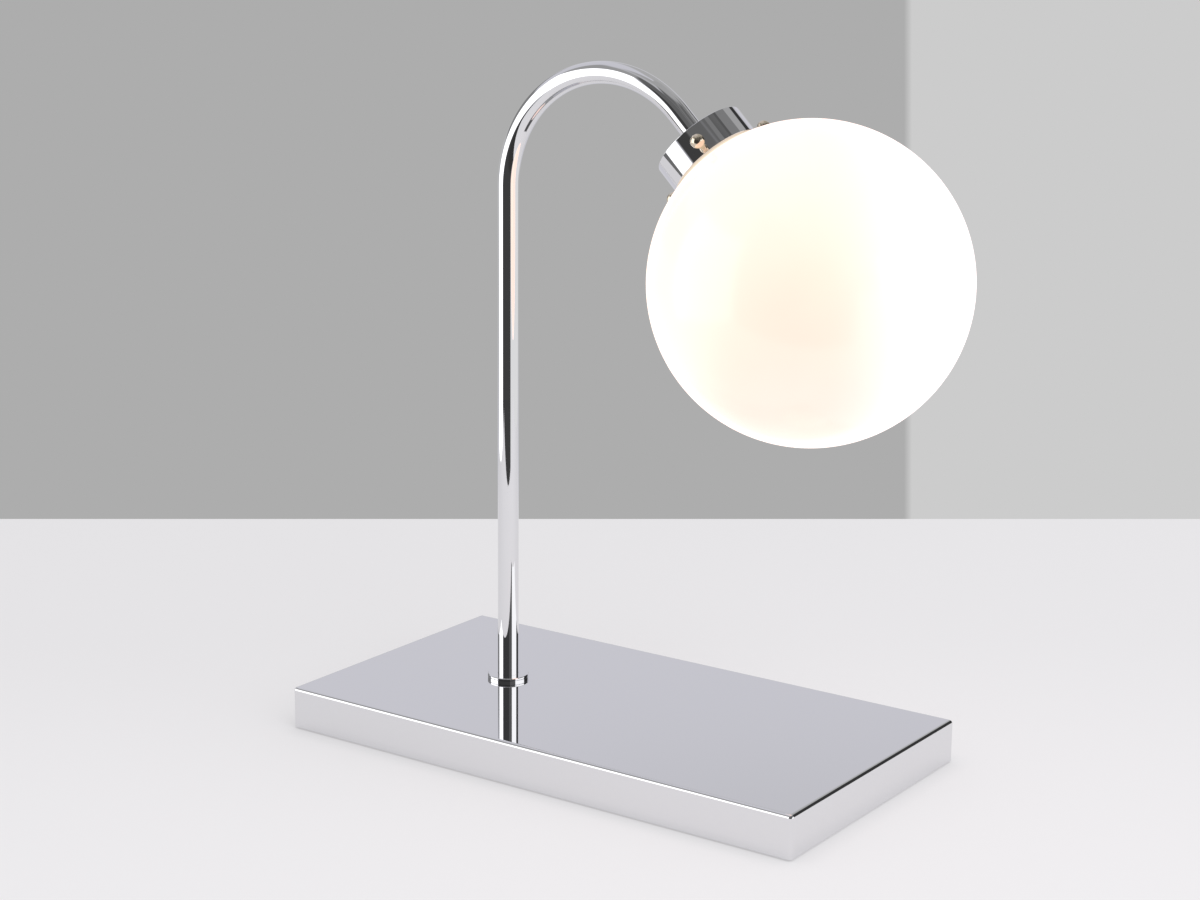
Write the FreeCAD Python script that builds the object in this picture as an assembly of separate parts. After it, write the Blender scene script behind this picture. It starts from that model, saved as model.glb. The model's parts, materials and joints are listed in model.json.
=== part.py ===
import FreeCAD, Part

# Table lamp: an opal glass globe in a chromed gallery, carried by a hooked chromed arm
# that stands near one end of a long, flat, weighted chromed base.
#
# Millimetres, +Z up. The origin is on the table, under the middle of the base. +X runs
# along the base, from the arm's end to the globe's end, and the hook lies in the XZ plane.
#
# The gallery, lampholder, bulb and globe share one axis. They are modelled along their
# own +Z, called depth here: 0 on the outside of the gallery's top, growing into the globe.
# place_on_arm() then tilts them to the arm's end.

import math
import os

from FreeCAD import Placement, Rotation, Vector

# Base shell: a pressed steel box, open underneath.
BASE_LENGTH = 350.0
BASE_WIDTH = 186.0
SHELL_HEIGHT = 25.0
SHELL_WALL = 1.5
SHELL_TOP_RADIUS = 1.5
SHELL_CORNER_RADIUS = 1.5
SHELL_LIFT = 1.0  # the rim stands this far above the table

# Base plate, its pad and the lugs that it is screwed to.
PAD_THICKNESS = 2.5
PAD_INSET = 5.0
PAD_PUNCH_GAP = 1.0  # round each screw head
PLATE_THICKNESS = 2.0
PLATE_EDGE_GAP = 0.5
PLATE_CORNER_RADIUS = 2.0
LUG_WIDTH = 18.0
LUG_REACH = 14.0
LUG_RISE = 12.0
LUG_THICKNESS = 1.5
LUG_END_INSET = 40.0  # from the end of the base to the last lug's middle
LUG_COUNT = 3  # on each long side

# Ballast slab, screwed to the plate from below.
BALLAST_LENGTH = 190.0
BALLAST_WIDTH = 130.0
BALLAST_THICKNESS = 12.0
BALLAST_END_INSET = 30.0  # from the end of the base under the globe
BALLAST_CORNER_RADIUS = 8.0
BALLAST_SCREW_INSET = 20.0
BALLAST_TAP_RUNOUT = 1.0  # thread depth past the screw's end

# Small screws: M4 throughout, and M3 in the terminals.
SCREW_RADIUS = 2.0
SCREW_CLEARANCE = 0.25
SCREW_HEAD_RADIUS = 4.0
PAN_HEAD_HEIGHT = 2.0
PAN_HEAD_ROUNDING = 0.65
PLATE_SCREW_LENGTH = 6.0
BALLAST_SCREW_LENGTH = 9.0
DRIVE_WIDTH = 0.9
DRIVE_SPAN = 4.2
DRIVE_DEPTH = 1.1
SMALL_SCREW_RADIUS = 1.5
SMALL_HEAD_RADIUS = 2.7
SMALL_HEAD_HEIGHT = 1.6
SMALL_SLOT_WIDTH = 0.9
SMALL_SLOT_DEPTH = 0.8

THREAD_GAP = 0.05  # radial gap of every thread, drawn as plain cylinders
LEAST_GAP = 0.2  # gap where one piece passes another with no fit

# Arm: a bent tube, tapped at both ends for hollow nipples.
ARM_INSET = 93.0  # from the end of the base to the tube's axis
TUBE_RADIUS = 6.35
TUBE_WALL = 1.8
ARM_RISE = 302.0  # from the base's top to the start of the bend
BEND_RADIUS = 69.5
BEND_ANGLE = 135.0
ARM_TAIL = 19.0  # straight length after the bend

# Seating collar between the tube and the base.
COLLAR_RADIUS = 12.5
COLLAR_THICKNESS = 2.8
COLLAR_RECESS = 1.4
COLLAR_CHAMFER = 0.35

# Nipples, nuts and washers: the lamp trade's M10 x 1.
NIPPLE_RADIUS = 5.0
NIPPLE_BORE_RADIUS = 3.5
NIPPLE_GRIP = 12.0  # length screwed into the tube
NIPPLE_TAIL = 1.2  # length past the nut
SPREADER_RADIUS = 20.0
SPREADER_THICKNESS = 2.5
LOCK_WASHER_RADIUS = 9.0
LOCK_WASHER_THICKNESS = 0.8
LOCK_TOOTH_DEPTH = 1.5
LOCK_TOOTH_GAP = 1.8
LOCK_TOOTH_COUNT = 10
NUT_ACROSS_FLATS = 14.0
NUT_HEIGHT = 3.5

# Cord inlet: a rubber grommet in the end wall nearest the arm.
INLET_HEIGHT = 14.0
GROMMET_BORE_RADIUS = 3.3
GROMMET_WALL = 1.7
GROMMET_FLANGE = 2.0
GROMMET_FLANGE_THICKNESS = 2.0
GROMMET_SLOPE = 1.0  # bevel of each flange's outer corner

# Terminal block, between the inlet and the arm.
TERMINAL_ARM_REACH = 43.0  # from the arm's axis to the block's middle
TERMINAL_LENGTH = 18.0
TERMINAL_WIDTH = 21.0
TERMINAL_HEIGHT = 12.0
TERMINAL_PITCH = 11.0
TERMINAL_AXIS_RISE = 4.2
TERMINAL_COLLAR_RADIUS = 3.6
TERMINAL_SKIN = 1.5  # plastic over each brass insert
INSERT_RADIUS = 2.6
INSERT_LENGTH = 15.0
INSERT_SCREW_PITCH = 7.0
INSERT_SCREW_LENGTH = 5.0

# Leads inside the arm: single insulated wires, side by side.
LEAD_RADIUS = 1.1
LEAD_SPACING = 4.4
LEAD_BEND_RADIUS = 7.5
LEAD_SOCKET_GAP = 0.2
LEAD_GRIP = 5.0

# Gallery: a turned cup that holds the globe's neck with three thumb screws.
CUP_RADIUS = 27.5
CUP_DEPTH = 17.0
CUP_WALL = 2.0
CUP_TOP_RADIUS = 0.4
CUP_RIM_RADIUS = 0.4

# Thumb screws: a ball head on a threaded stem with a nylon tip.
THUMB_COUNT = 3
THUMB_TURN = 3.5  # of the gallery on its nipple, once it's tight
THUMB_DEPTH = 12.0
THUMB_REACH = 36.9  # from the gallery's axis to the ball's centre
BALL_RADIUS = 4.0
STEM_RADIUS = 2.0
TIP_RADIUS = 1.5
TIP_LENGTH = 1.2
TIP_GAP = 0.2
TIP_PEG_RADIUS = 0.75
TIP_PEG_LENGTH = 2.0
SWIVEL_GAP = 0.1

# Globe: blown opal glass with a lipped neck.
GLOBE_RADIUS = 89.0
GLOBE_WALL = 2.5
RIM_GAP = 1.65  # from the gallery's rim to the glass, along the axis
NECK_RADIUS = 22.5
NECK_FILLET = 3.0
LIP_RADIUS = 24.5
LIP_HEIGHT = 4.0
LIP_ROUNDING = 1.2
NECK_BORE_RADIUS = 20.0
GASKET_THICKNESS = 1.5

# Lampholder for a small screw cap (E14).
HOLDER_RADIUS = 13.5
HOLDER_WALL = 1.8
HOLDER_NECK_RADIUS = 8.0
HOLDER_NECK_HEIGHT = 3.5
HOLDER_ENTRY = 6.0  # length screwed on the nipple
HOLDER_SHOULDER = 5.5
HOLDER_JOINT_DEPTH = 24.0
HOLDER_END_DEPTH = 58.0
HOLDER_SPIGOT = 3.5
HOLDER_SPIGOT_WALL = 0.9
HOLDER_CAP_CROWN = 0.9  # thickness that the cap's inside slope starts below its shoulder
HOLDER_LEDGE = 2.0
CORE_HEIGHT = 7.0
POST_RADIUS = 2.5
POST_HEIGHT = 7.0
POST_PITCH = 11.0
SOCKET_RADIUS = 7.1
SOCKET_SHEET = 0.4
SOCKET_LENGTH = 19.0
SOCKET_FLANGE = 2.0  # inturned width, under the core
SPRING_WIDTH = 4.0
SPRING_SHEET = 0.4
SPRING_RISE = 1.6
SPRING_FOOT_OUTER = 4.0  # from the axis to the foot's far end
SPRING_FOOT_INNER = 2.0  # from the axis to the foot's near end
SPRING_KNEE = 1.0  # how far the leaf's slope leans past the axis

# Candle bulb with a small screw cap.
CONTACT_GAP = 0.2
BULB_CONTACT_RADIUS = 2.4
BULB_CONTACT_HEIGHT = 0.9
BULB_INSULATOR_HEIGHT = 2.8
BULB_CAP_RADIUS = 6.95
BULB_CAP_SHEET = 0.4
BULB_CAP_LENGTH = 20.0
BULB_NECK_RADIUS = 6.4
BULB_NECK_GRIP = 4.0
BULB_RADIUS = 17.5
BULB_BELLY_RISE = 27.0
BULB_SWELL_RADIUS = 12.0  # of the glass halfway up to the belly
BULB_SWELL_RISE = 12.0
BULB_TAPER_RADIUS = 12.6  # of the glass halfway from the belly to the tip
BULB_TAPER_RISE = 52.0
BULB_GLASS_LENGTH = 75.0
BULB_TIP_RADIUS = 2.0
BULB_GLASS_WALL = 1.0

# Levels of the base, from the table up.
PLATE_BOTTOM = PAD_THICKNESS
PLATE_TOP = PLATE_BOTTOM + PLATE_THICKNESS
SHELL_TOP = SHELL_LIFT + SHELL_HEIGHT
SHELL_CEILING = SHELL_TOP - SHELL_WALL
SPREADER_BOTTOM = SHELL_CEILING - SPREADER_THICKNESS
BASE_NUT_TOP = SPREADER_BOTTOM - LOCK_WASHER_THICKNESS
BASE_NUT_BOTTOM = BASE_NUT_TOP - NUT_HEIGHT
BASE_NIPPLE_BOTTOM = BASE_NUT_BOTTOM - NIPPLE_TAIL
TERMINAL_AXIS_Z = PLATE_TOP + TERMINAL_AXIS_RISE

# Places along the base.
BALLAST_CENTRE_X = (BASE_LENGTH - BALLAST_LENGTH) / 2 - BALLAST_END_INSET
LUG_PITCH = (BASE_LENGTH - 2 * LUG_END_INSET) / (LUG_COUNT - 1)

# The arm's line.
ARM_X = ARM_INSET - BASE_LENGTH / 2
TERMINAL_CENTRE_X = ARM_X - TERMINAL_ARM_REACH
TUBE_BOTTOM = SHELL_TOP + COLLAR_THICKNESS - COLLAR_RECESS
BEND_START = SHELL_TOP + ARM_RISE
TUBE_BORE_RADIUS = TUBE_RADIUS - TUBE_WALL
TAPPED_RADIUS = NIPPLE_RADIUS + THREAD_GAP

# Depths along the gallery's axis.
GALLERY_NUT_TOP = CUP_WALL + LOCK_WASHER_THICKNESS
HOLDER_TOP = GALLERY_NUT_TOP + NUT_HEIGHT
NIPPLE_END = HOLDER_TOP + HOLDER_ENTRY
GASKET_TOP = CUP_WALL
LIP_TOP = GASKET_TOP + GASKET_THICKNESS
GLOBE_CENTRE = CUP_DEPTH + RIM_GAP + math.sqrt(GLOBE_RADIUS ** 2 - CUP_RADIUS ** 2)

SEAM_OVERLAP = 1.0  # how far a cutting tool runs past the face that it opens

X_AXIS = Vector(1, 0, 0)
Y_AXIS = Vector(0, 1, 0)
Z_AXIS = Vector(0, 0, 1)


def export(node, shape):
    """Write one piece, or one group of like pieces, to its own file."""
    shape.exportStep(os.path.join("parts", node + ".step"))


def disc(radius, bottom, top, x=0.0, y=0.0):
    """Upright cylinder between two levels."""
    return Part.makeCylinder(radius, top - bottom, Vector(x, y, bottom))


def ring(outer, inner, bottom, top, x=0.0, y=0.0):
    """Upright tube between two levels."""
    tool = disc(inner, bottom - SEAM_OVERLAP, top + SEAM_OVERLAP, x, y)
    return disc(outer, bottom, top, x, y).cut(tool)


def block(length, width, bottom, top, x=0.0, y=0.0):
    """Box centred on x and y, between two levels."""
    corner = Vector(x - length / 2, y - width / 2, bottom)
    return Part.makeBox(length, width, top - bottom, corner)


def upright_edges(shape):
    """The straight edges of a shape that run along Z."""
    found = []
    for edge in shape.Edges:
        run = edge.lastVertex().Point.sub(edge.firstVertex().Point)
        if abs(run.x) + abs(run.y) < 1e-6 and abs(run.z) > 1e-6:
            found.append(edge)
    return found


def level_edges(shape, level):
    """The edges of a shape that lie at one level."""
    found = []
    for edge in shape.Edges:
        box = edge.BoundBox
        if abs(box.ZMin - level) < 1e-6 and abs(box.ZMax - level) < 1e-6:
            found.append(edge)
    return found


def rounded_slab(length, width, bottom, top, corner_radius, x=0.0, y=0.0):
    """Box with rounded upright corners."""
    slab = block(length, width, bottom, top, x, y)
    return slab.makeFillet(corner_radius, upright_edges(slab))


def turned(points):
    """Solid of revolution about Z from the (radius, level) points of a closed outline."""
    corners = [Vector(radius, 0, level) for radius, level in points]
    outline = Part.makePolygon(corners + corners[:1])
    return Part.Face(outline).revolve(Vector(0, 0, 0), Z_AXIS, 360)


def turned_edges(edges):
    """Solid of revolution about Z from the edges of a closed outline in the XZ plane."""
    return Part.Face(Part.Wire(edges)).revolve(Vector(0, 0, 0), Z_AXIS, 360)


def line(start, end):
    """Straight edge in the XZ plane between two (radius, level) points."""
    return Part.makeLine(Vector(start[0], 0, start[1]), Vector(end[0], 0, end[1]))


def arc_about(centre, radius, start_angle, end_angle):
    """Arc in the XZ plane about a (radius, level) centre. 0 degrees points away from Z."""
    points = []
    for angle in (start_angle, (start_angle + end_angle) / 2, end_angle):
        turn = math.radians(angle)
        x = centre[0] + radius * math.cos(turn)
        z = centre[1] + radius * math.sin(turn)
        points.append(Vector(x, 0, z))
    return Part.Arc(*points).toShape()


def around(shape, angle):
    """Copy of a shape turned about Z."""
    copy = shape.copy()
    copy.rotate(Vector(0, 0, 0), Z_AXIS, angle)
    return copy


class Route:
    """A path of straight runs and tangent bends, which a round bar can follow."""

    def __init__(self, start, heading):
        self.point = start
        self.heading = heading
        self.length = 0.0
        self.runs = []
        self.bends = []

    def straight(self, length):
        """Go on in the present heading."""
        self.runs.append((self.point, self.heading, length))
        self.point = self.point + self.heading * length
        self.length += length
        return self

    def bend(self, radius, angle, axis):
        """Turn the heading about an axis that is square to it, by the right-hand rule."""
        outwards = self.heading.cross(axis) * math.copysign(radius, angle)
        centre = self.point - outwards
        turn = Rotation(axis, angle)
        self.bends.append((self.point, self.heading, centre, axis, angle))
        self.point = centre + turn.multVec(outwards)
        self.heading = turn.multVec(self.heading)
        self.length += radius * math.radians(abs(angle))
        return self

    def sidestep(self, shift, radius, side):
        """Move sideways by two equal and opposite bends."""
        angle = math.degrees(math.acos(1 - shift / (2 * radius)))
        axis = self.heading.cross(side)
        return self.bend(radius, angle, axis).bend(radius, -angle, axis)

    def sweep(self, radius):
        """Round bar along the path."""
        pieces = [Part.makeCylinder(radius, length, start, heading)
                  for start, heading, length in self.runs]
        for start, heading, centre, axis, angle in self.bends:
            section = Part.Face(Part.Wire([Part.makeCircle(radius, start, heading)]))
            signed_axis = axis * math.copysign(1, angle)
            pieces.append(section.revolve(centre, signed_axis, abs(angle)))
        return pieces[0].multiFuse(pieces[1:])


def sidestep_run(shift, radius):
    """How far a sidestep goes forward."""
    return math.sqrt(4 * radius * shift - shift ** 2)


def arm_route():
    """The tube's centre line, from the collar to the gallery."""
    route = Route(Vector(ARM_X, 0, TUBE_BOTTOM), Z_AXIS)
    route.straight(BEND_START - TUBE_BOTTOM)
    route.bend(BEND_RADIUS, BEND_ANGLE, Y_AXIS)
    return route.straight(ARM_TAIL)


ARM_END = arm_route()
GALLERY_PLACEMENT = Placement(ARM_END.point, Rotation(Y_AXIS, BEND_ANGLE))


def place_on_arm(shape):
    """Move a piece from the gallery's own axis to the end of the arm."""
    placed = shape.copy()
    placed.Placement = GALLERY_PLACEMENT.multiply(shape.Placement)
    return placed


# --- fasteners -----------------------------------------------------------------------


def drive_recess(level, depth):
    """Cross recess cut upwards into a head whose face is at a level."""
    top = level + depth
    bottom = level - SEAM_OVERLAP
    return block(DRIVE_SPAN, DRIVE_WIDTH, bottom, top).fuse(
        block(DRIVE_WIDTH, DRIVE_SPAN, bottom, top)
    )


def pan_screw(head_top, length):
    """M4 pan-head screw that points up, with its head under the given level."""
    face = head_top - PAN_HEAD_HEIGHT
    head = disc(SCREW_HEAD_RADIUS, face, head_top)
    head = head.makeFillet(PAN_HEAD_ROUNDING, level_edges(head, face))
    screw = head.fuse(disc(SCREW_RADIUS, head_top, head_top + length))
    return screw.cut(drive_recess(face, DRIVE_DEPTH)).removeSplitter()


def countersunk_cone(face, reach):
    """Cone of a countersunk head, wide at the face, with its 90 degree flank."""
    depth = SCREW_HEAD_RADIUS - SCREW_RADIUS + reach
    return Part.makeCone(SCREW_HEAD_RADIUS + reach, SCREW_RADIUS, depth, Vector(0, 0, face))


def countersunk_screw(face, length):
    """M4 countersunk screw that points up, flush at the given level."""
    screw = countersunk_cone(face, 0.0).fuse(disc(SCREW_RADIUS, face, face + length))
    return screw.cut(drive_recess(face, DRIVE_DEPTH)).removeSplitter()


def slotted_screw(seat, length, radius, head_radius, head_height):
    """Slotted screw that points down, with its head on the given level."""
    head_top = seat + head_height
    head = disc(head_radius, seat, head_top)
    shank = disc(radius, seat - length, seat)
    slot_length = 2 * (head_radius + SEAM_OVERLAP)
    slot_floor = head_top - SMALL_SLOT_DEPTH
    slot = block(slot_length, SMALL_SLOT_WIDTH, slot_floor, head_top + SEAM_OVERLAP)
    return head.fuse(shank).cut(slot).removeSplitter()


def hex_nut(bottom, top):
    """Thin hexagonal M10 x 1 nut with chamfered corners."""
    corner_radius = NUT_ACROSS_FLATS / math.sqrt(3)
    corners = []
    for corner in range(6):
        turn = math.radians(60 * corner)
        x = corner_radius * math.cos(turn)
        y = corner_radius * math.sin(turn)
        corners.append(Vector(x, y, bottom))
    prism = Part.Face(Part.makePolygon(corners + corners[:1])).extrude(Z_AXIS * (top - bottom))
    flat = NUT_ACROSS_FLATS / 2
    crown = corner_radius - flat
    lathe = turned([
        (0, bottom), (flat, bottom), (corner_radius, bottom + crown),
        (corner_radius, top - crown), (flat, top), (0, top),
    ])
    return prism.common(lathe).cut(disc(TAPPED_RADIUS, bottom - SEAM_OVERLAP, top + SEAM_OVERLAP))


def lock_washer(bottom, top):
    """External-tooth washer that bites between a nut and its seat."""
    washer = ring(LOCK_WASHER_RADIUS, TAPPED_RADIUS + LEAST_GAP, bottom, top)
    root = LOCK_WASHER_RADIUS - LOCK_TOOTH_DEPTH
    notch = block(2 * LOCK_TOOTH_DEPTH, LOCK_TOOTH_GAP, bottom, top, root + LOCK_TOOTH_DEPTH)
    for tooth in range(LOCK_TOOTH_COUNT):
        washer = washer.cut(around(notch, 360 * tooth / LOCK_TOOTH_COUNT))
    return washer


def hollow_nipple(bottom, top):
    """Threaded hollow nipple that the leads pass through."""
    return ring(NIPPLE_RADIUS, NIPPLE_BORE_RADIUS, bottom, top)


# --- base ----------------------------------------------------------------------------


def lug_places():
    """Centres of the plate's fixing lugs, as (x, side) with side -1 or +1."""
    places = []
    for side in (-1, 1):
        for index in range(LUG_COUNT):
            places.append(((index - (LUG_COUNT - 1) / 2) * LUG_PITCH, side))
    return places


def lug_screw_y(side):
    """Distance of a lug's screw from the middle of the base."""
    return side * (BASE_WIDTH / 2 - SHELL_WALL - LUG_REACH / 2)


def inlet_along_wall(shape):
    """Turn a piece made along Z so that its Z runs out through the inlet."""
    placed = shape.copy()
    placed.Placement = Placement(
        Vector(-BASE_LENGTH / 2, 0, INLET_HEIGHT), Rotation(Y_AXIS, -90)
    )
    return placed


def base_shell():
    """Pressed box with the arm's hole in its top and the inlet's hole in its end."""
    outer = rounded_slab(BASE_LENGTH, BASE_WIDTH, SHELL_LIFT, SHELL_TOP, SHELL_CORNER_RADIUS)
    outer = outer.makeFillet(SHELL_TOP_RADIUS, level_edges(outer, SHELL_TOP))
    inside = block(
        BASE_LENGTH - 2 * SHELL_WALL,
        BASE_WIDTH - 2 * SHELL_WALL,
        SHELL_LIFT - SEAM_OVERLAP,
        SHELL_CEILING,
    )
    arm_hole = disc(
        TAPPED_RADIUS + LEAST_GAP, SHELL_CEILING - SEAM_OVERLAP, SHELL_TOP + SEAM_OVERLAP, ARM_X
    )
    inlet_hole = inlet_along_wall(
        disc(GROMMET_BORE_RADIUS + GROMMET_WALL, -SHELL_WALL - SEAM_OVERLAP, SEAM_OVERLAP)
    )
    return outer.cut(inside).cut(arm_hole).cut(inlet_hole)


def fixing_lug():
    """Spot-welded angle that takes one plate screw. Its upright leg faces +Y."""
    tray = block(LUG_WIDTH, LUG_REACH, PLATE_TOP, PLATE_TOP + LUG_THICKNESS, 0, -LUG_REACH / 2)
    leg = block(
        LUG_WIDTH, LUG_THICKNESS, PLATE_TOP, PLATE_TOP + LUG_RISE, 0, -LUG_THICKNESS / 2
    )
    angle = tray.fuse(leg).removeSplitter()
    hole = disc(
        SCREW_RADIUS + THREAD_GAP,
        PLATE_TOP - SEAM_OVERLAP,
        PLATE_TOP + LUG_THICKNESS + SEAM_OVERLAP,
        0,
        -LUG_REACH / 2,
    )
    return angle.cut(hole)


def fixing_lugs():
    """All lugs, against the inside of the long walls."""
    lugs = []
    for x, side in lug_places():
        lug = around(fixing_lug(), 0 if side > 0 else 180)
        lug.translate(Vector(x, side * (BASE_WIDTH / 2 - SHELL_WALL), 0))
        lugs.append(lug)
    return Part.makeCompound(lugs)


def ballast_screw_places():
    """Centres of the four screws that hold the ballast."""
    reach_x = BALLAST_LENGTH / 2 - BALLAST_SCREW_INSET
    reach_y = BALLAST_WIDTH / 2 - BALLAST_SCREW_INSET
    return [
        (BALLAST_CENTRE_X + along * reach_x, across * reach_y)
        for along in (-1, 1)
        for across in (-1, 1)
    ]


def base_plate():
    """Steel plate that closes the shell from below."""
    inset = 2 * (SHELL_WALL + PLATE_EDGE_GAP)
    plate = rounded_slab(
        BASE_LENGTH - inset, BASE_WIDTH - inset, PLATE_BOTTOM, PLATE_TOP, PLATE_CORNER_RADIUS
    )
    for x, side in lug_places():
        plate = plate.cut(
            disc(
                SCREW_RADIUS + SCREW_CLEARANCE,
                PLATE_BOTTOM - SEAM_OVERLAP,
                PLATE_TOP + SEAM_OVERLAP,
                x,
                lug_screw_y(side),
            )
        )
    for x, y in ballast_screw_places():
        seat = countersunk_cone(PLATE_BOTTOM, 0.0)
        seat = seat.fuse(disc(SCREW_RADIUS + THREAD_GAP, PLATE_BOTTOM, PLATE_TOP + SEAM_OVERLAP))
        seat.translate(Vector(x, y, 0))
        plate = plate.cut(seat)
    tapped = disc(
        SMALL_SCREW_RADIUS + THREAD_GAP,
        PLATE_BOTTOM - SEAM_OVERLAP,
        PLATE_TOP + SEAM_OVERLAP,
        TERMINAL_CENTRE_X,
    )
    return plate.cut(tapped)


def base_pad():
    """Soft pad under the plate, punched round the heads of the plate screws."""
    inset = 2 * (SHELL_WALL + PAD_INSET)
    pad = rounded_slab(
        BASE_LENGTH - inset, BASE_WIDTH - inset, 0, PAD_THICKNESS, PLATE_CORNER_RADIUS
    )
    for x, side in lug_places():
        punched = disc(
            SCREW_HEAD_RADIUS + PAD_PUNCH_GAP,
            -SEAM_OVERLAP,
            PAD_THICKNESS + SEAM_OVERLAP,
            x,
            lug_screw_y(side),
        )
        pad = pad.cut(punched)
    return pad


def plate_screws():
    """The screws that hold the plate to the lugs."""
    screws = []
    for x, side in lug_places():
        screw = pan_screw(PLATE_BOTTOM, PLATE_SCREW_LENGTH)
        screw.translate(Vector(x, lug_screw_y(side), 0))
        screws.append(screw)
    return Part.makeCompound(screws)


def ballast():
    """Cast-iron slab, tapped from below."""
    slab = rounded_slab(
        BALLAST_LENGTH,
        BALLAST_WIDTH,
        PLATE_TOP,
        PLATE_TOP + BALLAST_THICKNESS,
        BALLAST_CORNER_RADIUS,
        BALLAST_CENTRE_X,
    )
    tapped_top = PLATE_BOTTOM + BALLAST_SCREW_LENGTH + BALLAST_TAP_RUNOUT
    for x, y in ballast_screw_places():
        slab = slab.cut(disc(SCREW_RADIUS + THREAD_GAP, PLATE_TOP - SEAM_OVERLAP, tapped_top, x, y))
    return slab


def ballast_screws():
    """The countersunk screws that hold the ballast to the plate."""
    screws = []
    for x, y in ballast_screw_places():
        screw = countersunk_screw(PLATE_BOTTOM, BALLAST_SCREW_LENGTH)
        screw.translate(Vector(x, y, 0))
        screws.append(screw)
    return Part.makeCompound(screws)


def cord_grommet():
    """Rubber grommet that grips the end wall between its two flanges."""
    groove = GROMMET_BORE_RADIUS + GROMMET_WALL
    flange = groove + GROMMET_FLANGE
    inner_end = -SHELL_WALL - GROMMET_FLANGE_THICKNESS
    outer_end = GROMMET_FLANGE_THICKNESS
    slope = GROMMET_SLOPE
    grommet = turned([
        (GROMMET_BORE_RADIUS, inner_end),
        (flange - slope, inner_end),
        (flange, inner_end + slope),
        (flange, -SHELL_WALL),
        (groove, -SHELL_WALL),
        (groove, 0),
        (flange, 0),
        (flange, outer_end - slope),
        (flange - slope, outer_end),
        (GROMMET_BORE_RADIUS, outer_end),
    ])
    return inlet_along_wall(grommet)


# --- terminal block ------------------------------------------------------------------


def way_places():
    """Y of each way of the terminal block."""
    return (-TERMINAL_PITCH / 2, TERMINAL_PITCH / 2)


def along_x(radius, length, y):
    """Cylinder along X through the terminal block's way."""
    start = Vector(TERMINAL_CENTRE_X - length / 2, y, TERMINAL_AXIS_Z)
    return Part.makeCylinder(radius, length, start, X_AXIS)


def insert_screw_xs():
    """X of the two clamping screws of each way."""
    return (
        TERMINAL_CENTRE_X - INSERT_SCREW_PITCH / 2,
        TERMINAL_CENTRE_X + INSERT_SCREW_PITCH / 2,
    )


def screw_seat_level():
    """Level of the underside of the clamping screws' heads."""
    return TERMINAL_AXIS_Z + LEAD_RADIUS + INSERT_SCREW_LENGTH


def terminal_block():
    """Moulded body: a low bar with a round collar about each screw shaft."""
    top = PLATE_TOP + TERMINAL_HEIGHT
    shoulder = TERMINAL_AXIS_Z + INSERT_RADIUS + TERMINAL_SKIN
    body = block(TERMINAL_LENGTH, TERMINAL_WIDTH, PLATE_TOP, shoulder, TERMINAL_CENTRE_X)
    for y in way_places():
        for x in insert_screw_xs():
            body = body.fuse(disc(TERMINAL_COLLAR_RADIUS, shoulder - SEAM_OVERLAP, top, x, y))
    body = body.removeSplitter()
    for y in way_places():
        body = body.cut(along_x(INSERT_RADIUS + THREAD_GAP, 2 * TERMINAL_LENGTH, y))
        for x in insert_screw_xs():
            shaft = disc(SMALL_HEAD_RADIUS + LEAST_GAP, TERMINAL_AXIS_Z, top + SEAM_OVERLAP, x, y)
            body = body.cut(shaft)
    fixing = disc(
        SMALL_SCREW_RADIUS + LEAST_GAP, PLATE_TOP - SEAM_OVERLAP, top, TERMINAL_CENTRE_X
    )
    sink = disc(SMALL_HEAD_RADIUS + LEAST_GAP, TERMINAL_AXIS_Z, top, TERMINAL_CENTRE_X)
    return body.cut(fixing).cut(sink)


def terminal_inserts():
    """Brass tubes that join the cord's cores to the leads."""
    inserts = []
    for y in way_places():
        insert = along_x(INSERT_RADIUS, INSERT_LENGTH, y)
        insert = insert.cut(along_x(LEAD_RADIUS + LEAD_SOCKET_GAP, 2 * INSERT_LENGTH, y))
        for x in insert_screw_xs():
            tapped = disc(
                SMALL_SCREW_RADIUS + THREAD_GAP,
                TERMINAL_AXIS_Z,
                TERMINAL_AXIS_Z + 2 * INSERT_RADIUS,
                x,
                y,
            )
            insert = insert.cut(tapped)
        inserts.append(insert)
    return Part.makeCompound(inserts)


def terminal_screws():
    """The slotted screws that clamp the wires in the inserts."""
    screws = []
    for y in way_places():
        for x in insert_screw_xs():
            screw = slotted_screw(
                screw_seat_level(),
                INSERT_SCREW_LENGTH,
                SMALL_SCREW_RADIUS,
                SMALL_HEAD_RADIUS,
                SMALL_HEAD_HEIGHT,
            )
            screw.translate(Vector(x, y, 0))
            screws.append(screw)
    return Part.makeCompound(screws)


def terminal_fixing_screw():
    """The screw that holds the terminal block to the plate."""
    screw = slotted_screw(
        TERMINAL_AXIS_Z,
        TERMINAL_AXIS_Z - PLATE_BOTTOM,
        SMALL_SCREW_RADIUS,
        SMALL_HEAD_RADIUS,
        SMALL_HEAD_HEIGHT,
    )
    screw.translate(Vector(TERMINAL_CENTRE_X, 0, 0))
    return screw


# --- arm -----------------------------------------------------------------------------


def arm_tube():
    """The bent tube, with a tapped length at each end."""
    tube = arm_route().sweep(TUBE_RADIUS).cut(arm_route().sweep(TUBE_BORE_RADIUS))
    foot_thread = disc(
        TAPPED_RADIUS, TUBE_BOTTOM - SEAM_OVERLAP, TUBE_BOTTOM + NIPPLE_GRIP, ARM_X
    )
    end_thread = place_on_arm(disc(TAPPED_RADIUS, -NIPPLE_GRIP, SEAM_OVERLAP))
    return tube.cut(foot_thread).cut(end_thread)


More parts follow.
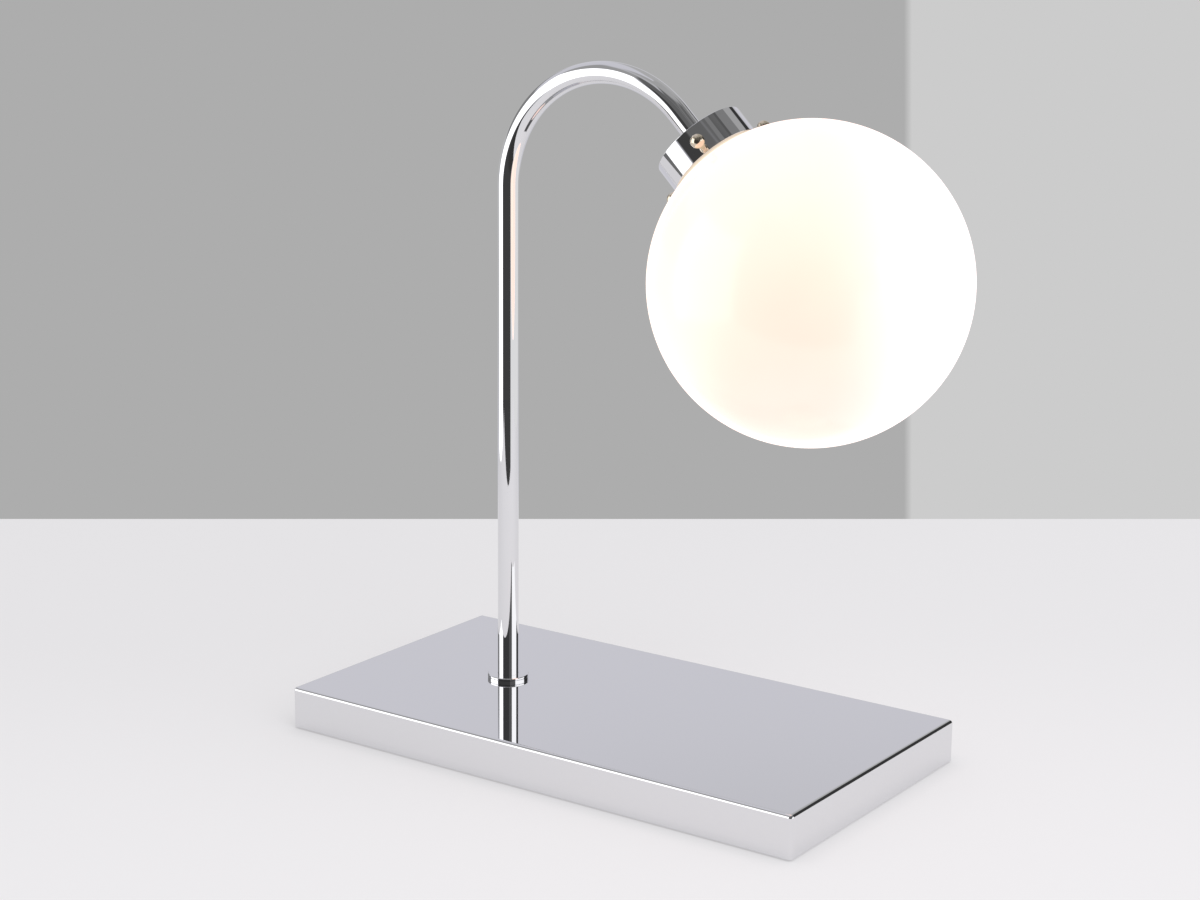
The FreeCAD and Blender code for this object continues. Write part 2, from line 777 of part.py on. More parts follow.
def foot_collar():
    """Turned ring that hides the tube's foot and seats it on the base."""
    bottom = SHELL_TOP
    top = SHELL_TOP + COLLAR_THICKNESS
    collar = disc(COLLAR_RADIUS, bottom, top, ARM_X)
    collar = collar.makeChamfer(COLLAR_CHAMFER, level_edges(collar, top))
    recess = disc(TUBE_RADIUS + THREAD_GAP, TUBE_BOTTOM, top + SEAM_OVERLAP, ARM_X)
    hole = disc(TAPPED_RADIUS + LEAST_GAP, bottom - SEAM_OVERLAP, top, ARM_X)
    return collar.cut(recess).cut(hole)


def base_nipple():
    """Nipple from the tube's foot down through the base's top."""
    nipple = hollow_nipple(BASE_NIPPLE_BOTTOM, TUBE_BOTTOM + NIPPLE_GRIP)
    nipple.translate(Vector(ARM_X, 0, 0))
    return nipple


def spreader_washer():
    """Thick washer that spreads the arm's load under the shell's top."""
    return ring(
        SPREADER_RADIUS, TAPPED_RADIUS + LEAST_GAP, SPREADER_BOTTOM, SHELL_CEILING, ARM_X
    )


def gallery_nipple():
    """Nipple from the tube's end through the gallery into the lampholder."""
    return place_on_arm(hollow_nipple(-NIPPLE_GRIP, NIPPLE_END))


def arm_lock_washers():
    """The toothed washers under both nuts."""
    foot = lock_washer(BASE_NUT_TOP, SPREADER_BOTTOM)
    foot.translate(Vector(ARM_X, 0, 0))
    return Part.makeCompound([foot, place_on_arm(lock_washer(CUP_WALL, GALLERY_NUT_TOP))])


def arm_nuts():
    """The nuts that clamp the arm to the base and the gallery to the arm."""
    foot = hex_nut(BASE_NUT_BOTTOM, BASE_NUT_TOP)
    foot.translate(Vector(ARM_X, 0, 0))
    return Part.makeCompound([foot, place_on_arm(hex_nut(GALLERY_NUT_TOP, HOLDER_TOP))])


def lead_route(side):
    """One lead, from its terminal through the arm to its post in the lampholder."""
    inboard = -side * (TERMINAL_PITCH - LEAD_SPACING) / 2
    start_x = TERMINAL_CENTRE_X + INSERT_LENGTH / 2 - LEAD_GRIP
    start = Vector(start_x, side * TERMINAL_PITCH / 2, TERMINAL_AXIS_Z)
    side_run = sidestep_run(abs(inboard), LEAD_BEND_RADIUS)
    level_run = ARM_X - LEAD_BEND_RADIUS - start_x
    lead_in = (TERMINAL_LENGTH - INSERT_LENGTH) / 2 + LEAD_GRIP
    route = Route(start, X_AXIS).straight(lead_in)
    route.sidestep(abs(inboard), LEAD_BEND_RADIUS, Y_AXIS * -side)
    route.straight(level_run - lead_in - side_run)
    route.bend(LEAD_BEND_RADIUS, 90, Y_AXIS * -1)
    route.straight(BEND_START - TERMINAL_AXIS_Z - LEAD_BEND_RADIUS)
    route.bend(BEND_RADIUS, BEND_ANGLE, Y_AXIS)
    route.straight(ARM_TAIL + NIPPLE_END)
    spread = (POST_PITCH - LEAD_SPACING) / 2
    route.sidestep(spread, LEAD_BEND_RADIUS, Y_AXIS * side)
    return route.straight(LEAD_GRIP)


def internal_leads():
    """The two insulated leads, side by side through the nipples and the tube."""
    leads = []
    for side in (-1, 1):
        route = lead_route(side)
        lead = route.sweep(LEAD_RADIUS)
        share = lead.Volume / (math.pi * LEAD_RADIUS ** 2 * route.length)
        print(f"lead {side:+d}: length {route.length:.1f} mm, volume share {share:.4f},")
        print(f"  bends of {LEAD_BEND_RADIUS} and {BEND_RADIUS} mm")
        leads.append(lead)
    return Part.makeCompound(leads)


# --- gallery and globe ---------------------------------------------------------------


def thumb_angles():
    """Turns of the thumb screws about the gallery's axis. The first lies under the arm."""
    return [THUMB_TURN + 360 * index / THUMB_COUNT for index in range(THUMB_COUNT)]


def radial(radius, start, end, angle):
    """Cylinder that points out from the gallery's axis at the thumb screws' depth."""
    bar = Part.makeCylinder(radius, end - start, Vector(start, 0, THUMB_DEPTH), X_AXIS)
    return around(bar, angle)


def gallery_cup():
    """Turned cup with a threaded hole for each thumb screw."""
    cup = disc(CUP_RADIUS, 0, CUP_DEPTH)
    cup = cup.makeFillet(CUP_TOP_RADIUS, level_edges(cup, 0))
    cup = cup.makeFillet(CUP_RIM_RADIUS, level_edges(cup, CUP_DEPTH))
    cup = cup.cut(disc(CUP_RADIUS - CUP_WALL, CUP_WALL, CUP_DEPTH + SEAM_OVERLAP))
    cup = cup.cut(disc(TAPPED_RADIUS + LEAST_GAP, -SEAM_OVERLAP, CUP_WALL + SEAM_OVERLAP))
    for angle in thumb_angles():
        cup = cup.cut(radial(STEM_RADIUS + THREAD_GAP, NECK_RADIUS, THUMB_REACH, angle))
    return place_on_arm(cup)


def lip_gasket():
    """Silicone ring between the glass lip and the cup's top."""
    return place_on_arm(ring(LIP_RADIUS, NECK_BORE_RADIUS, GASKET_TOP, LIP_TOP))


def globe_outer_edges():
    """Outside of the glass, from the lip's top to the far pole."""
    lip_bottom = LIP_TOP + LIP_HEIGHT
    rounding = LIP_ROUNDING
    throat = NECK_RADIUS + NECK_FILLET
    reach = GLOBE_RADIUS + NECK_FILLET
    fillet_depth = GLOBE_CENTRE - math.sqrt(reach ** 2 - throat ** 2)
    fillet_angle = math.degrees(math.atan2(GLOBE_CENTRE - fillet_depth, -throat))
    sphere_angle = -math.degrees(math.atan2(GLOBE_CENTRE - fillet_depth, throat))
    inset = LIP_RADIUS - rounding
    return [
        line((NECK_BORE_RADIUS, LIP_TOP), (inset, LIP_TOP)),
        arc_about((inset, LIP_TOP + rounding), rounding, -90, 0),
        line((LIP_RADIUS, LIP_TOP + rounding), (LIP_RADIUS, lip_bottom - rounding)),
        arc_about((inset, lip_bottom - rounding), rounding, 0, 90),
        line((inset, lip_bottom), (NECK_RADIUS, lip_bottom)),
        line((NECK_RADIUS, lip_bottom), (NECK_RADIUS, fillet_depth)),
        arc_about((throat, fillet_depth), NECK_FILLET, 180, fillet_angle),
        arc_about((0, GLOBE_CENTRE), GLOBE_RADIUS, sphere_angle, 90),
    ]


def globe_inner_edges():
    """Inside of the glass, from the far pole back to the lip's top."""
    bore = NECK_BORE_RADIUS
    inner = GLOBE_RADIUS - GLOBE_WALL
    mouth_depth = GLOBE_CENTRE - math.sqrt(inner ** 2 - bore ** 2)
    mouth_angle = -math.degrees(math.acos(bore / inner))
    return [
        line((0, GLOBE_CENTRE + GLOBE_RADIUS), (0, GLOBE_CENTRE + inner)),
        arc_about((0, GLOBE_CENTRE), inner, 90, mouth_angle),
        line((bore, mouth_depth), (bore, LIP_TOP)),
    ]


def globe_glass():
    """Blown globe with its neck and lip."""
    return place_on_arm(turned_edges(globe_outer_edges() + globe_inner_edges()))


def tip_face():
    """Radius of the tips' inner faces."""
    return NECK_RADIUS + TIP_GAP


def thumb_screw(angle):
    """Ball-headed screw, bored at its end for the tip's peg."""
    stem_start = tip_face() + TIP_LENGTH + SWIVEL_GAP
    stem = radial(STEM_RADIUS, stem_start, THUMB_REACH, 0)
    ball = Part.makeSphere(BALL_RADIUS, Vector(THUMB_REACH, 0, THUMB_DEPTH))
    bore = radial(
        TIP_PEG_RADIUS + THREAD_GAP,
        stem_start - SEAM_OVERLAP,
        stem_start + TIP_PEG_LENGTH + SWIVEL_GAP,
        0,
    )
    screw = ball.fuse(stem).removeSplitter().cut(bore)
    return place_on_arm(around(screw, angle))


def screw_tip(angle):
    """Nylon tip that bears on the glass neck and lets the screw turn on its peg."""
    back = tip_face() + TIP_LENGTH
    pad = radial(TIP_RADIUS, tip_face(), back, 0)
    peg = radial(TIP_PEG_RADIUS, back, back + TIP_PEG_LENGTH, 0)
    return place_on_arm(around(pad.fuse(peg).removeSplitter(), angle))


# --- lampholder ----------------------------------------------------------------------

HOLDER_BORE = HOLDER_RADIUS - HOLDER_WALL
NECK_BOTTOM = HOLDER_TOP + HOLDER_NECK_HEIGHT
SHOULDER_BOTTOM = NECK_BOTTOM + HOLDER_SHOULDER
POST_TOP = NIPPLE_END + sidestep_run((POST_PITCH - LEAD_SPACING) / 2, LEAD_BEND_RADIUS)
CORE_TOP = POST_TOP + POST_HEIGHT
CORE_BOTTOM = CORE_TOP + CORE_HEIGHT
SPRING_END = CORE_BOTTOM + SPRING_RISE
SOCKET_END = CORE_BOTTOM + SOCKET_LENGTH


def holder_cap():
    """Domed cap that screws on the nipple and covers the terminals."""
    cap = turned([
        (TAPPED_RADIUS, HOLDER_TOP),
        (HOLDER_NECK_RADIUS, HOLDER_TOP),
        (HOLDER_NECK_RADIUS, NECK_BOTTOM),
        (HOLDER_RADIUS, SHOULDER_BOTTOM),
        (HOLDER_RADIUS, HOLDER_JOINT_DEPTH),
        (HOLDER_BORE, HOLDER_JOINT_DEPTH),
        (HOLDER_BORE, SHOULDER_BOTTOM + HOLDER_CAP_CROWN),
        (HOLDER_NECK_RADIUS, NIPPLE_END),
        (TAPPED_RADIUS, NIPPLE_END),
    ])
    return place_on_arm(cap)


def holder_body():
    """Barrel that screws into the cap and clamps the core on its ledge."""
    spigot = HOLDER_BORE - THREAD_GAP
    bore = spigot - HOLDER_SPIGOT_WALL
    ledge = bore - HOLDER_LEDGE
    body = turned([
        (bore, HOLDER_JOINT_DEPTH - HOLDER_SPIGOT),
        (spigot, HOLDER_JOINT_DEPTH - HOLDER_SPIGOT),
        (spigot, HOLDER_JOINT_DEPTH),
        (HOLDER_RADIUS, HOLDER_JOINT_DEPTH),
        (HOLDER_RADIUS, HOLDER_END_DEPTH),
        (ledge, HOLDER_END_DEPTH),
        (ledge, CORE_BOTTOM),
        (bore, CORE_BOTTOM),
    ])
    return place_on_arm(body)


def holder_core():
    """Ceramic disc that carries the posts, the socket and the centre spring."""
    radius = HOLDER_BORE - THREAD_GAP - HOLDER_SPIGOT_WALL - LEAST_GAP
    return place_on_arm(disc(radius, CORE_TOP, CORE_BOTTOM))


def holder_posts():
    """Brass posts that the leads end in."""
    posts = []
    for side in (-1, 1):
        y = side * POST_PITCH / 2
        post = disc(POST_RADIUS, POST_TOP, CORE_TOP, 0, y)
        posts.append(post.cut(disc(
            LEAD_RADIUS + LEAD_SOCKET_GAP, POST_TOP - SEAM_OVERLAP, POST_TOP + LEAD_GRIP, 0, y
        )))
    return place_on_arm(Part.makeCompound(posts))


def screw_socket():
    """Brass screw shell, riveted under the core by its inturned flange."""
    outer = SOCKET_RADIUS + SOCKET_SHEET
    inner_flange = SOCKET_RADIUS - SOCKET_FLANGE
    socket = turned([
        (inner_flange, CORE_BOTTOM),
        (outer, CORE_BOTTOM),
        (outer, SOCKET_END),
        (SOCKET_RADIUS, SOCKET_END),
        (SOCKET_RADIUS, CORE_BOTTOM + SOCKET_SHEET),
        (inner_flange, CORE_BOTTOM + SOCKET_SHEET),
    ])
    return place_on_arm(socket)


def centre_spring():
    """Bent leaf that presses on the bulb's contact."""
    far, near, knee, sheet = SPRING_FOOT_OUTER, SPRING_FOOT_INNER, SPRING_KNEE, SPRING_SHEET
    foot_face = CORE_BOTTOM + sheet
    outline = [
        (-far, CORE_BOTTOM),
        (near, CORE_BOTTOM),
        (near, foot_face),
        (0, foot_face),
        (-knee, SPRING_END - sheet),
        (near, SPRING_END - sheet),
        (near, SPRING_END),
        (-near, SPRING_END),
        (-near - knee, foot_face),
        (-far, foot_face),
    ]
    corners = [Vector(x, -SPRING_WIDTH / 2, depth) for x, depth in outline]
    leaf = Part.Face(Part.makePolygon(corners + corners[:1])).extrude(Y_AXIS * SPRING_WIDTH)
    return place_on_arm(leaf)


# --- bulb ----------------------------------------------------------------------------

BULB_TOP = SPRING_END + CONTACT_GAP
BULB_INSULATOR_TOP = BULB_TOP + BULB_CONTACT_HEIGHT
BULB_CAP_TOP = BULB_INSULATOR_TOP + BULB_INSULATOR_HEIGHT
BULB_CAP_END = BULB_CAP_TOP + BULB_CAP_LENGTH


def bulb_contact():
    """Button at the bulb's end."""
    return place_on_arm(disc(BULB_CONTACT_RADIUS, BULB_TOP, BULB_INSULATOR_TOP))


def bulb_insulator():
    """Black glass cone between the contact and the cap."""
    seat = BULB_CAP_RADIUS - BULB_CAP_SHEET
    cone = Part.makeCone(
        BULB_CONTACT_RADIUS, seat, BULB_INSULATOR_HEIGHT, Vector(0, 0, BULB_INSULATOR_TOP)
    )
    plug = disc(seat, BULB_CAP_TOP, BULB_CAP_TOP + BULB_CONTACT_HEIGHT)
    return place_on_arm(cone.fuse(plug).removeSplitter())


def bulb_cap():
    """Thin metal screw cap."""
    inner = BULB_CAP_RADIUS - BULB_CAP_SHEET
    return place_on_arm(ring(BULB_CAP_RADIUS, inner, BULB_CAP_TOP, BULB_CAP_END))


def arc_through(start, middle, end):
    """Arc in the XZ plane through three (radius, level) points."""
    points = [Vector(radius, 0, level) for radius, level in (start, middle, end)]
    return Part.Arc(*points).toShape()


def candle_outline(start, inset):
    """Half outline of the envelope from a level up to its tip, at a distance inside the glass."""
    end = BULB_CAP_END + BULB_GLASS_LENGTH - inset
    tip = BULB_TIP_RADIUS - inset / 2
    neck_edge = (BULB_NECK_RADIUS - inset, BULB_CAP_END)
    belly = (BULB_RADIUS - inset, BULB_CAP_END + BULB_BELLY_RISE)
    swell = (BULB_SWELL_RADIUS - inset, BULB_CAP_END + BULB_SWELL_RISE)
    taper = (BULB_TAPER_RADIUS - inset, BULB_CAP_END + BULB_TAPER_RISE)
    return [
        line((neck_edge[0], start), neck_edge),
        arc_through(neck_edge, swell, belly),
        arc_through(belly, taper, (tip, end - tip)),
        arc_about((0, end - tip), tip, 0, 90),
        line((0, end), (0, start)),
        line((0, start), (neck_edge[0], start)),
    ]


def bulb_glass():
    """Candle-shaped envelope, open where it is cemented in the cap."""
    start = BULB_CAP_END - BULB_NECK_GRIP
    outside = turned_edges(candle_outline(start, 0.0))
    inside = turned_edges(candle_outline(start, BULB_GLASS_WALL))
    return place_on_arm(outside.cut(inside))


THUMB_NAMES = ("under", "back", "front")

PIECES = {
    "base_shell": base_shell,
    "fixing_lugs": fixing_lugs,
    "base_plate": base_plate,
    "plate_screws": plate_screws,
    "base_pad": base_pad,
    "ballast": ballast,
    "ballast_screws": ballast_screws,
    "cord_grommet": cord_grommet,
    "terminal_block": terminal_block,
    "terminal_inserts": terminal_inserts,
    "terminal_screws": terminal_screws,
    "terminal_fixing_screw": terminal_fixing_screw,
    "arm_tube": arm_tube,
    "foot_collar": foot_collar,
    "base_nipple": base_nipple,
    "spreader_washer": spreader_washer,
    "gallery_nipple": gallery_nipple,
    "arm_lock_washers": arm_lock_washers,
    "arm_nuts": arm_nuts,
    "internal_leads": internal_leads,
    "gallery_cup": gallery_cup,
    "lip_gasket": lip_gasket,
    "globe_glass": globe_glass,
    "holder_cap": holder_cap,
    "holder_body": holder_body,
    "holder_core": holder_core,
    "holder_posts": holder_posts,
    "screw_socket": screw_socket,
    "centre_spring": centre_spring,
    "bulb_contact": bulb_contact,
    "bulb_insulator": bulb_insulator,
    "bulb_cap": bulb_cap,
    "bulb_glass": bulb_glass,
}

os.makedirs("parts", exist_ok=True)
for node, make in PIECES.items():
    export(node, make())
for name, angle in zip(THUMB_NAMES, thumb_angles()):
    export("thumb_screw_" + name, thumb_screw(angle))
    export("screw_tip_" + name, screw_tip(angle))
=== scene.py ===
"""A table lamp: a lit opal globe in a chromed gallery, on a hooked chromed arm and a flat chromed base.

Lengths are metres, and fields that end in _mm are millimetres. The working frame has +Z up,
its origin on the table under the middle of the base, and +X along the base from the arm's end
towards the globe.
"""

import json
import logging
import math
from abc import ABC, abstractmethod
from dataclasses import dataclass, field
from enum import Enum
from typing import Any

import bmesh
import bpy
from mathutils import Matrix, Vector


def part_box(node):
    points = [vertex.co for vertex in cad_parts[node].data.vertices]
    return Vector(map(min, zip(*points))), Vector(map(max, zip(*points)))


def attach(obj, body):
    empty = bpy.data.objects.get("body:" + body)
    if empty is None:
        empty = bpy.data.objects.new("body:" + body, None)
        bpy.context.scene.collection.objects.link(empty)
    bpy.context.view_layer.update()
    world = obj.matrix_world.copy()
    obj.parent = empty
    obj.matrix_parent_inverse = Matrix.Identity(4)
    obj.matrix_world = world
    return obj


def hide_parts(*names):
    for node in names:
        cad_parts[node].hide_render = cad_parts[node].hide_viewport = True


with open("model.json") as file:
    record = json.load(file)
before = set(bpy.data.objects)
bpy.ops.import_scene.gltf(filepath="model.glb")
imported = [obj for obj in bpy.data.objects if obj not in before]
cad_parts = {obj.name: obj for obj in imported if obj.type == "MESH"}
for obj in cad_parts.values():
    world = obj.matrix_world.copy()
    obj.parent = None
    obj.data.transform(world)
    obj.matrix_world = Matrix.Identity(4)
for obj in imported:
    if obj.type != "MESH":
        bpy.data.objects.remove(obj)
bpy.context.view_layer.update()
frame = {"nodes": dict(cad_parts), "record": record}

LOG = logging.getLogger("table_lamp")
MM = 0.001
Colour = tuple[float, float, float, float]
Outline = list[tuple[float, float]]
Ring = list[bmesh.types.BMVert]
Socket = bpy.types.NodeSocket
Tree = bpy.types.NodeTree

# Sockets of a colour mix, which has several of each name.
FACTOR, FIRST, SECOND, BLEND = 0, 6, 7, 2

# Noise seldom leaves this span.
NOISE_SPAN = {"From Min": 0.3, "From Max": 0.7}

CAMERA_AZIMUTH = 34.921  # degrees from -Y towards +X


# --- colour and nodes ----------------------------------------------------------------


def linear(code: str) -> Colour:
    """Turn an sRGB colour into linear light.

    Args:
        code: Six hex digits.

    Returns:
        Linear red, green and blue, and an alpha of 1.
    """
    channels = [int(code[start:start + 2], 16) / 255 for start in (0, 2, 4)]
    light = [c / 12.92 if c <= 0.04045 else ((c + 0.055) / 1.055) ** 2.4 for c in channels]
    return light[0], light[1], light[2], 1.0


def add_node(
    tree: Tree, kind: str, inputs: dict[str | int, Any] | None = None, **settings: Any
) -> bpy.types.Node:
    """Add a node with its settings and links.

    Args:
        tree: The node tree that gets the node.
        kind: The node's type name.
        inputs: For each input, by name or number, the socket linked to it or its value.
        **settings: Properties of the node.

    Returns:
        The new node.
    """
    node = tree.nodes.new(kind)
    for name, value in settings.items():
        setattr(node, name, value)
    for key, value in (inputs or {}).items():
        if isinstance(value, Socket):
            tree.links.new(value, node.inputs[key])
        else:
            node.inputs[key].default_value = value
    return node


def scale_for(size_mm: float) -> float:
    """Scale of a pattern whose features lie this many millimetres apart."""
    return 1 / (size_mm * MM)


# --- finishes ------------------------------------------------------------------------


@dataclass(frozen=True)
class Finish(ABC):
    """A real material and the way its surface was made."""

    name: str

    @abstractmethod
    def shade(self, tree: Tree, place: Socket) -> bpy.types.Node:
        """Build the surface shader.

        Args:
            tree: The material's node tree.
            place: The point on the piece, in metres.

        Returns:
            The shader node.
        """

    def material(self) -> bpy.types.Material:
        """Make the material, or give the one that is already made.

        Returns:
            The material.
        """
        made = bpy.data.materials.get(self.name)
        if made:
            return made
        made = bpy.data.materials.new(self.name)
        made.use_nodes = True
        tree = made.node_tree
        tree.nodes.clear()
        place = add_node(tree, "ShaderNodeTexCoord").outputs["Object"]
        shader = self.shade(tree, place)
        add_node(tree, "ShaderNodeOutputMaterial", {"Surface": shader.outputs[0]})
        return made


@dataclass(frozen=True)
class BrightPlate(Finish):
    """Bright plate on polished metal: a near-perfect mirror with a faint buffing haze."""

    tone: str
    haze_mm: float = 45.0
    haze_low: float = 0.012
    haze_high: float = 0.03
    ripple_mm: float = 30.0
    ripple_height_mm: float = 0.0006

    def shade(self, tree: Tree, place: Socket) -> bpy.types.Node:
        """Build a mirror whose roughness and level wander a little, as buffing leaves them.

        Args:
            tree: The material's node tree.
            place: The point on the piece, in metres.

        Returns:
            The shader node.
        """
        inputs = {"Vector": place, "Scale": scale_for(self.haze_mm), "Detail": 3.0}
        buffing = add_node(tree, "ShaderNodeTexNoise", inputs).outputs["Fac"]
        span = {"To Min": self.haze_low, "To Max": self.haze_high}
        haze = add_node(tree, "ShaderNodeMapRange", {"Value": buffing, **NOISE_SPAN, **span})
        inputs = {"Vector": place, "Scale": scale_for(self.ripple_mm), "Detail": 0.0}
        waves = add_node(tree, "ShaderNodeTexNoise", inputs)
        height = self.ripple_height_mm * MM
        inputs = {"Height": waves.outputs["Fac"], "Distance": height, "Strength": 1.0}
        ripple = add_node(tree, "ShaderNodeBump", inputs)
        inputs = {
            "Base Color": linear(self.tone),
            "Metallic": 1.0,
            "Roughness": haze.outputs["Result"],
            "Normal": ripple.outputs["Normal"],
        }
        return add_node(tree, "ShaderNodeBsdfPrincipled", inputs)


@dataclass(frozen=True)
class GlowArea:
    """Part of a lit glass where the light that comes through has its own tone."""

    centre_mm: tuple[float, float, float]
    inner_mm: float
    outer_mm: float
    tone: str


@dataclass(frozen=True)
class LitOpalGlass(Finish):
    """Blown opal glass, lit by the bulb inside: a glossy skin over an even glow."""

    glow: str
    strength: float
    areas: tuple[GlowArea, ...] = ()
    glass: str = "5A5A58"
    cloud_mm: float = 60.0
    cloud_shade: float = 0.96
    gloss: float = 0.18

    def shade(self, tree: Tree, place: Socket) -> bpy.types.Node:
        """Build the glow, its tone changed area by area, under clear gloss. An area can be painted
        shade, as at the globe's neck.

        Args:
            tree: The material's node tree.
            place: The point on the piece, in metres.

        Returns:
            The shader node.
        """
        inputs = {"Vector": place, "Scale": scale_for(self.cloud_mm), "Detail": 2.0}
        noise = add_node(tree, "ShaderNodeTexNoise", inputs).outputs["Fac"]
        span = {"To Min": self.cloud_shade, "To Max": 1.0}
        cloud = add_node(tree, "ShaderNodeMapRange", {"Value": noise, **NOISE_SPAN, **span})
        tone: Colour | Socket = linear(self.glow)
        for area in self.areas:
            inputs = {0: place, 1: tuple(length * MM for length in area.centre_mm)}
            gap = add_node(tree, "ShaderNodeVectorMath", inputs, operation="DISTANCE")
            inputs = {
                "Value": gap.outputs["Value"],
                "From Min": area.inner_mm * MM,
                "From Max": area.outer_mm * MM,
                "To Min": 1.0,
                "To Max": 0.0,
            }
            near = add_node(tree, "ShaderNodeMapRange", inputs, interpolation_type="SMOOTHSTEP")
            inputs = {FACTOR: near.outputs["Result"], FIRST: tone, SECOND: linear(area.tone)}
            tone = add_node(tree, "ShaderNodeMix", inputs, data_type="RGBA").outputs[BLEND]
        inputs = {0: cloud.outputs["Result"], 1: self.strength}
        level = add_node(tree, "ShaderNodeMath", inputs, operation="MULTIPLY")
        inputs = {
            "Base Color": linear(self.glass),
            "Roughness": self.gloss,
            "Emission Color": tone,
            "Emission Strength": level.outputs["Value"],
        }
        return add_node(tree, "ShaderNodeBsdfPrincipled", inputs)


@dataclass(frozen=True)
class MouldedPolymer(Finish):
    """A moulded, cast or glazed body: an even colour in faint patches, with a fine grain."""

    tone: str
    patch_tone: str
    roughness: float = 0.4
    patch_mm: float = 6.0
    grit_mm: float = 0.4
    grit_height_mm: float = 0.01

    def shade(self, tree: Tree, place: Socket) -> bpy.types.Node:
        """Build faint colour patches and a fine grain.

        Args:
            tree: The material's node tree.
            place: The point on the piece, in metres.

        Returns:
            The shader node.
        """
        inputs = {"Vector": place, "Scale": scale_for(self.patch_mm), "Detail": 2.0}
        patches = add_node(tree, "ShaderNodeTexNoise", inputs).outputs["Fac"]
        inputs = {FACTOR: patches, FIRST: linear(self.tone), SECOND: linear(self.patch_tone)}
        tone = add_node(tree, "ShaderNodeMix", inputs, data_type="RGBA").outputs[BLEND]
        inputs = {"Vector": place, "Scale": scale_for(self.grit_mm), "Detail": 1.0}
        grit = add_node(tree, "ShaderNodeTexNoise", inputs)
        height = self.grit_height_mm * MM
        inputs = {"Height": grit.outputs["Fac"], "Distance": height, "Strength": 1.0}
        normal = add_node(tree, "ShaderNodeBump", inputs).outputs["Normal"]
        inputs = {"Base Color": tone, "Roughness": self.roughness, "Normal": normal}
        return add_node(tree, "ShaderNodeBsdfPrincipled", inputs)


@dataclass(frozen=True)
class WorkedMetal(Finish):
    """Metal as it leaves the press, the lathe or the zinc bath: dull, with uneven brightness."""

    tone: str
    dark_tone: str
    patch_mm: float = 4.0
    smooth: float = 0.25
    rough: float = 0.45

    def shade(self, tree: Tree, place: Socket) -> bpy.types.Node:
        """Build metal whose tone and roughness vary together.

        Args:
            tree: The material's node tree.
            place: The point on the piece, in metres.

        Returns:
            The shader node.
        """
        inputs = {"Vector": place, "Scale": scale_for(self.patch_mm), "Detail": 3.0}
        patches = add_node(tree, "ShaderNodeTexNoise", inputs).outputs["Fac"]
        inputs = {FACTOR: patches, FIRST: linear(self.tone), SECOND: linear(self.dark_tone)}
        tone = add_node(tree, "ShaderNodeMix", inputs, data_type="RGBA").outputs[BLEND]
        span = {"To Min": self.smooth, "To Max": self.rough}
        wear = add_node(tree, "ShaderNodeMapRange", {"Value": patches, **NOISE_SPAN, **span})
        inputs = {"Base Color": tone, "Metallic": 1.0, "Roughness": wear.outputs["Result"]}
        return add_node(tree, "ShaderNodeBsdfPrincipled", inputs)


class Slot(Enum):
    """The record's material slots."""

    CHROME = "chrome"
    OPAL_GLASS = "opal_glass"
    STEEL_PLATE = "steel_plate"
    SOFT_PAD = "soft_pad"
    IRON = "iron"
    GROMMET_RUBBER = "grommet_rubber"
    TERMINAL_PLASTIC = "terminal_plastic"
    BRASS = "brass"
    SCREW_ZINC = "screw_zinc"
    LEAD_INSULATION = "lead_insulation"
    SILICONE = "silicone"
    NYLON = "nylon"
    HOLDER_PLASTIC = "holder_plastic"
    CERAMIC = "ceramic"
    BULB_GLASS = "bulb_glass"
    BULB_METAL = "bulb_metal"
    BULB_BLACK_GLASS = "bulb_black_glass"


# Centre, where the tone is full, where it has faded out, and the tone.
GLOBE_AREAS = (
    GlowArea((166.6, -77.6, 293.1), 0.0, 90.0, "FFD2C0"),
    GlowArea((50.0, -51.0, 290.0), 20.0, 95.0, "FFE2D1"),
    GlowArea((158.5, -73.2, 254.6), 20.0, 75.0, "FFCDBE"),
    GlowArea((151.9, -55.6, 227.5), 20.0, 62.0, "FFCCC0"),
    GlowArea((135.0, -16.0, 204.0), 10.0, 62.0, "F0D9CD"),
    GlowArea((196.0, 51.0, 291.0), 65.0, 128.0, "FFE9E9"),
    # Painted shade: the glass dims to brown grey where it meets the gallery's rim.
    GlowArea((62.1, 0.0, 351.7), 27.2, 37.0, "CEBEAB"),
)

# Bright nickel on turned brass: as sharp a mirror as the chrome beside it, but warmer.
SCREW_PLATE = BrightPlate("bright_nickel_plate", "DDD0BB")

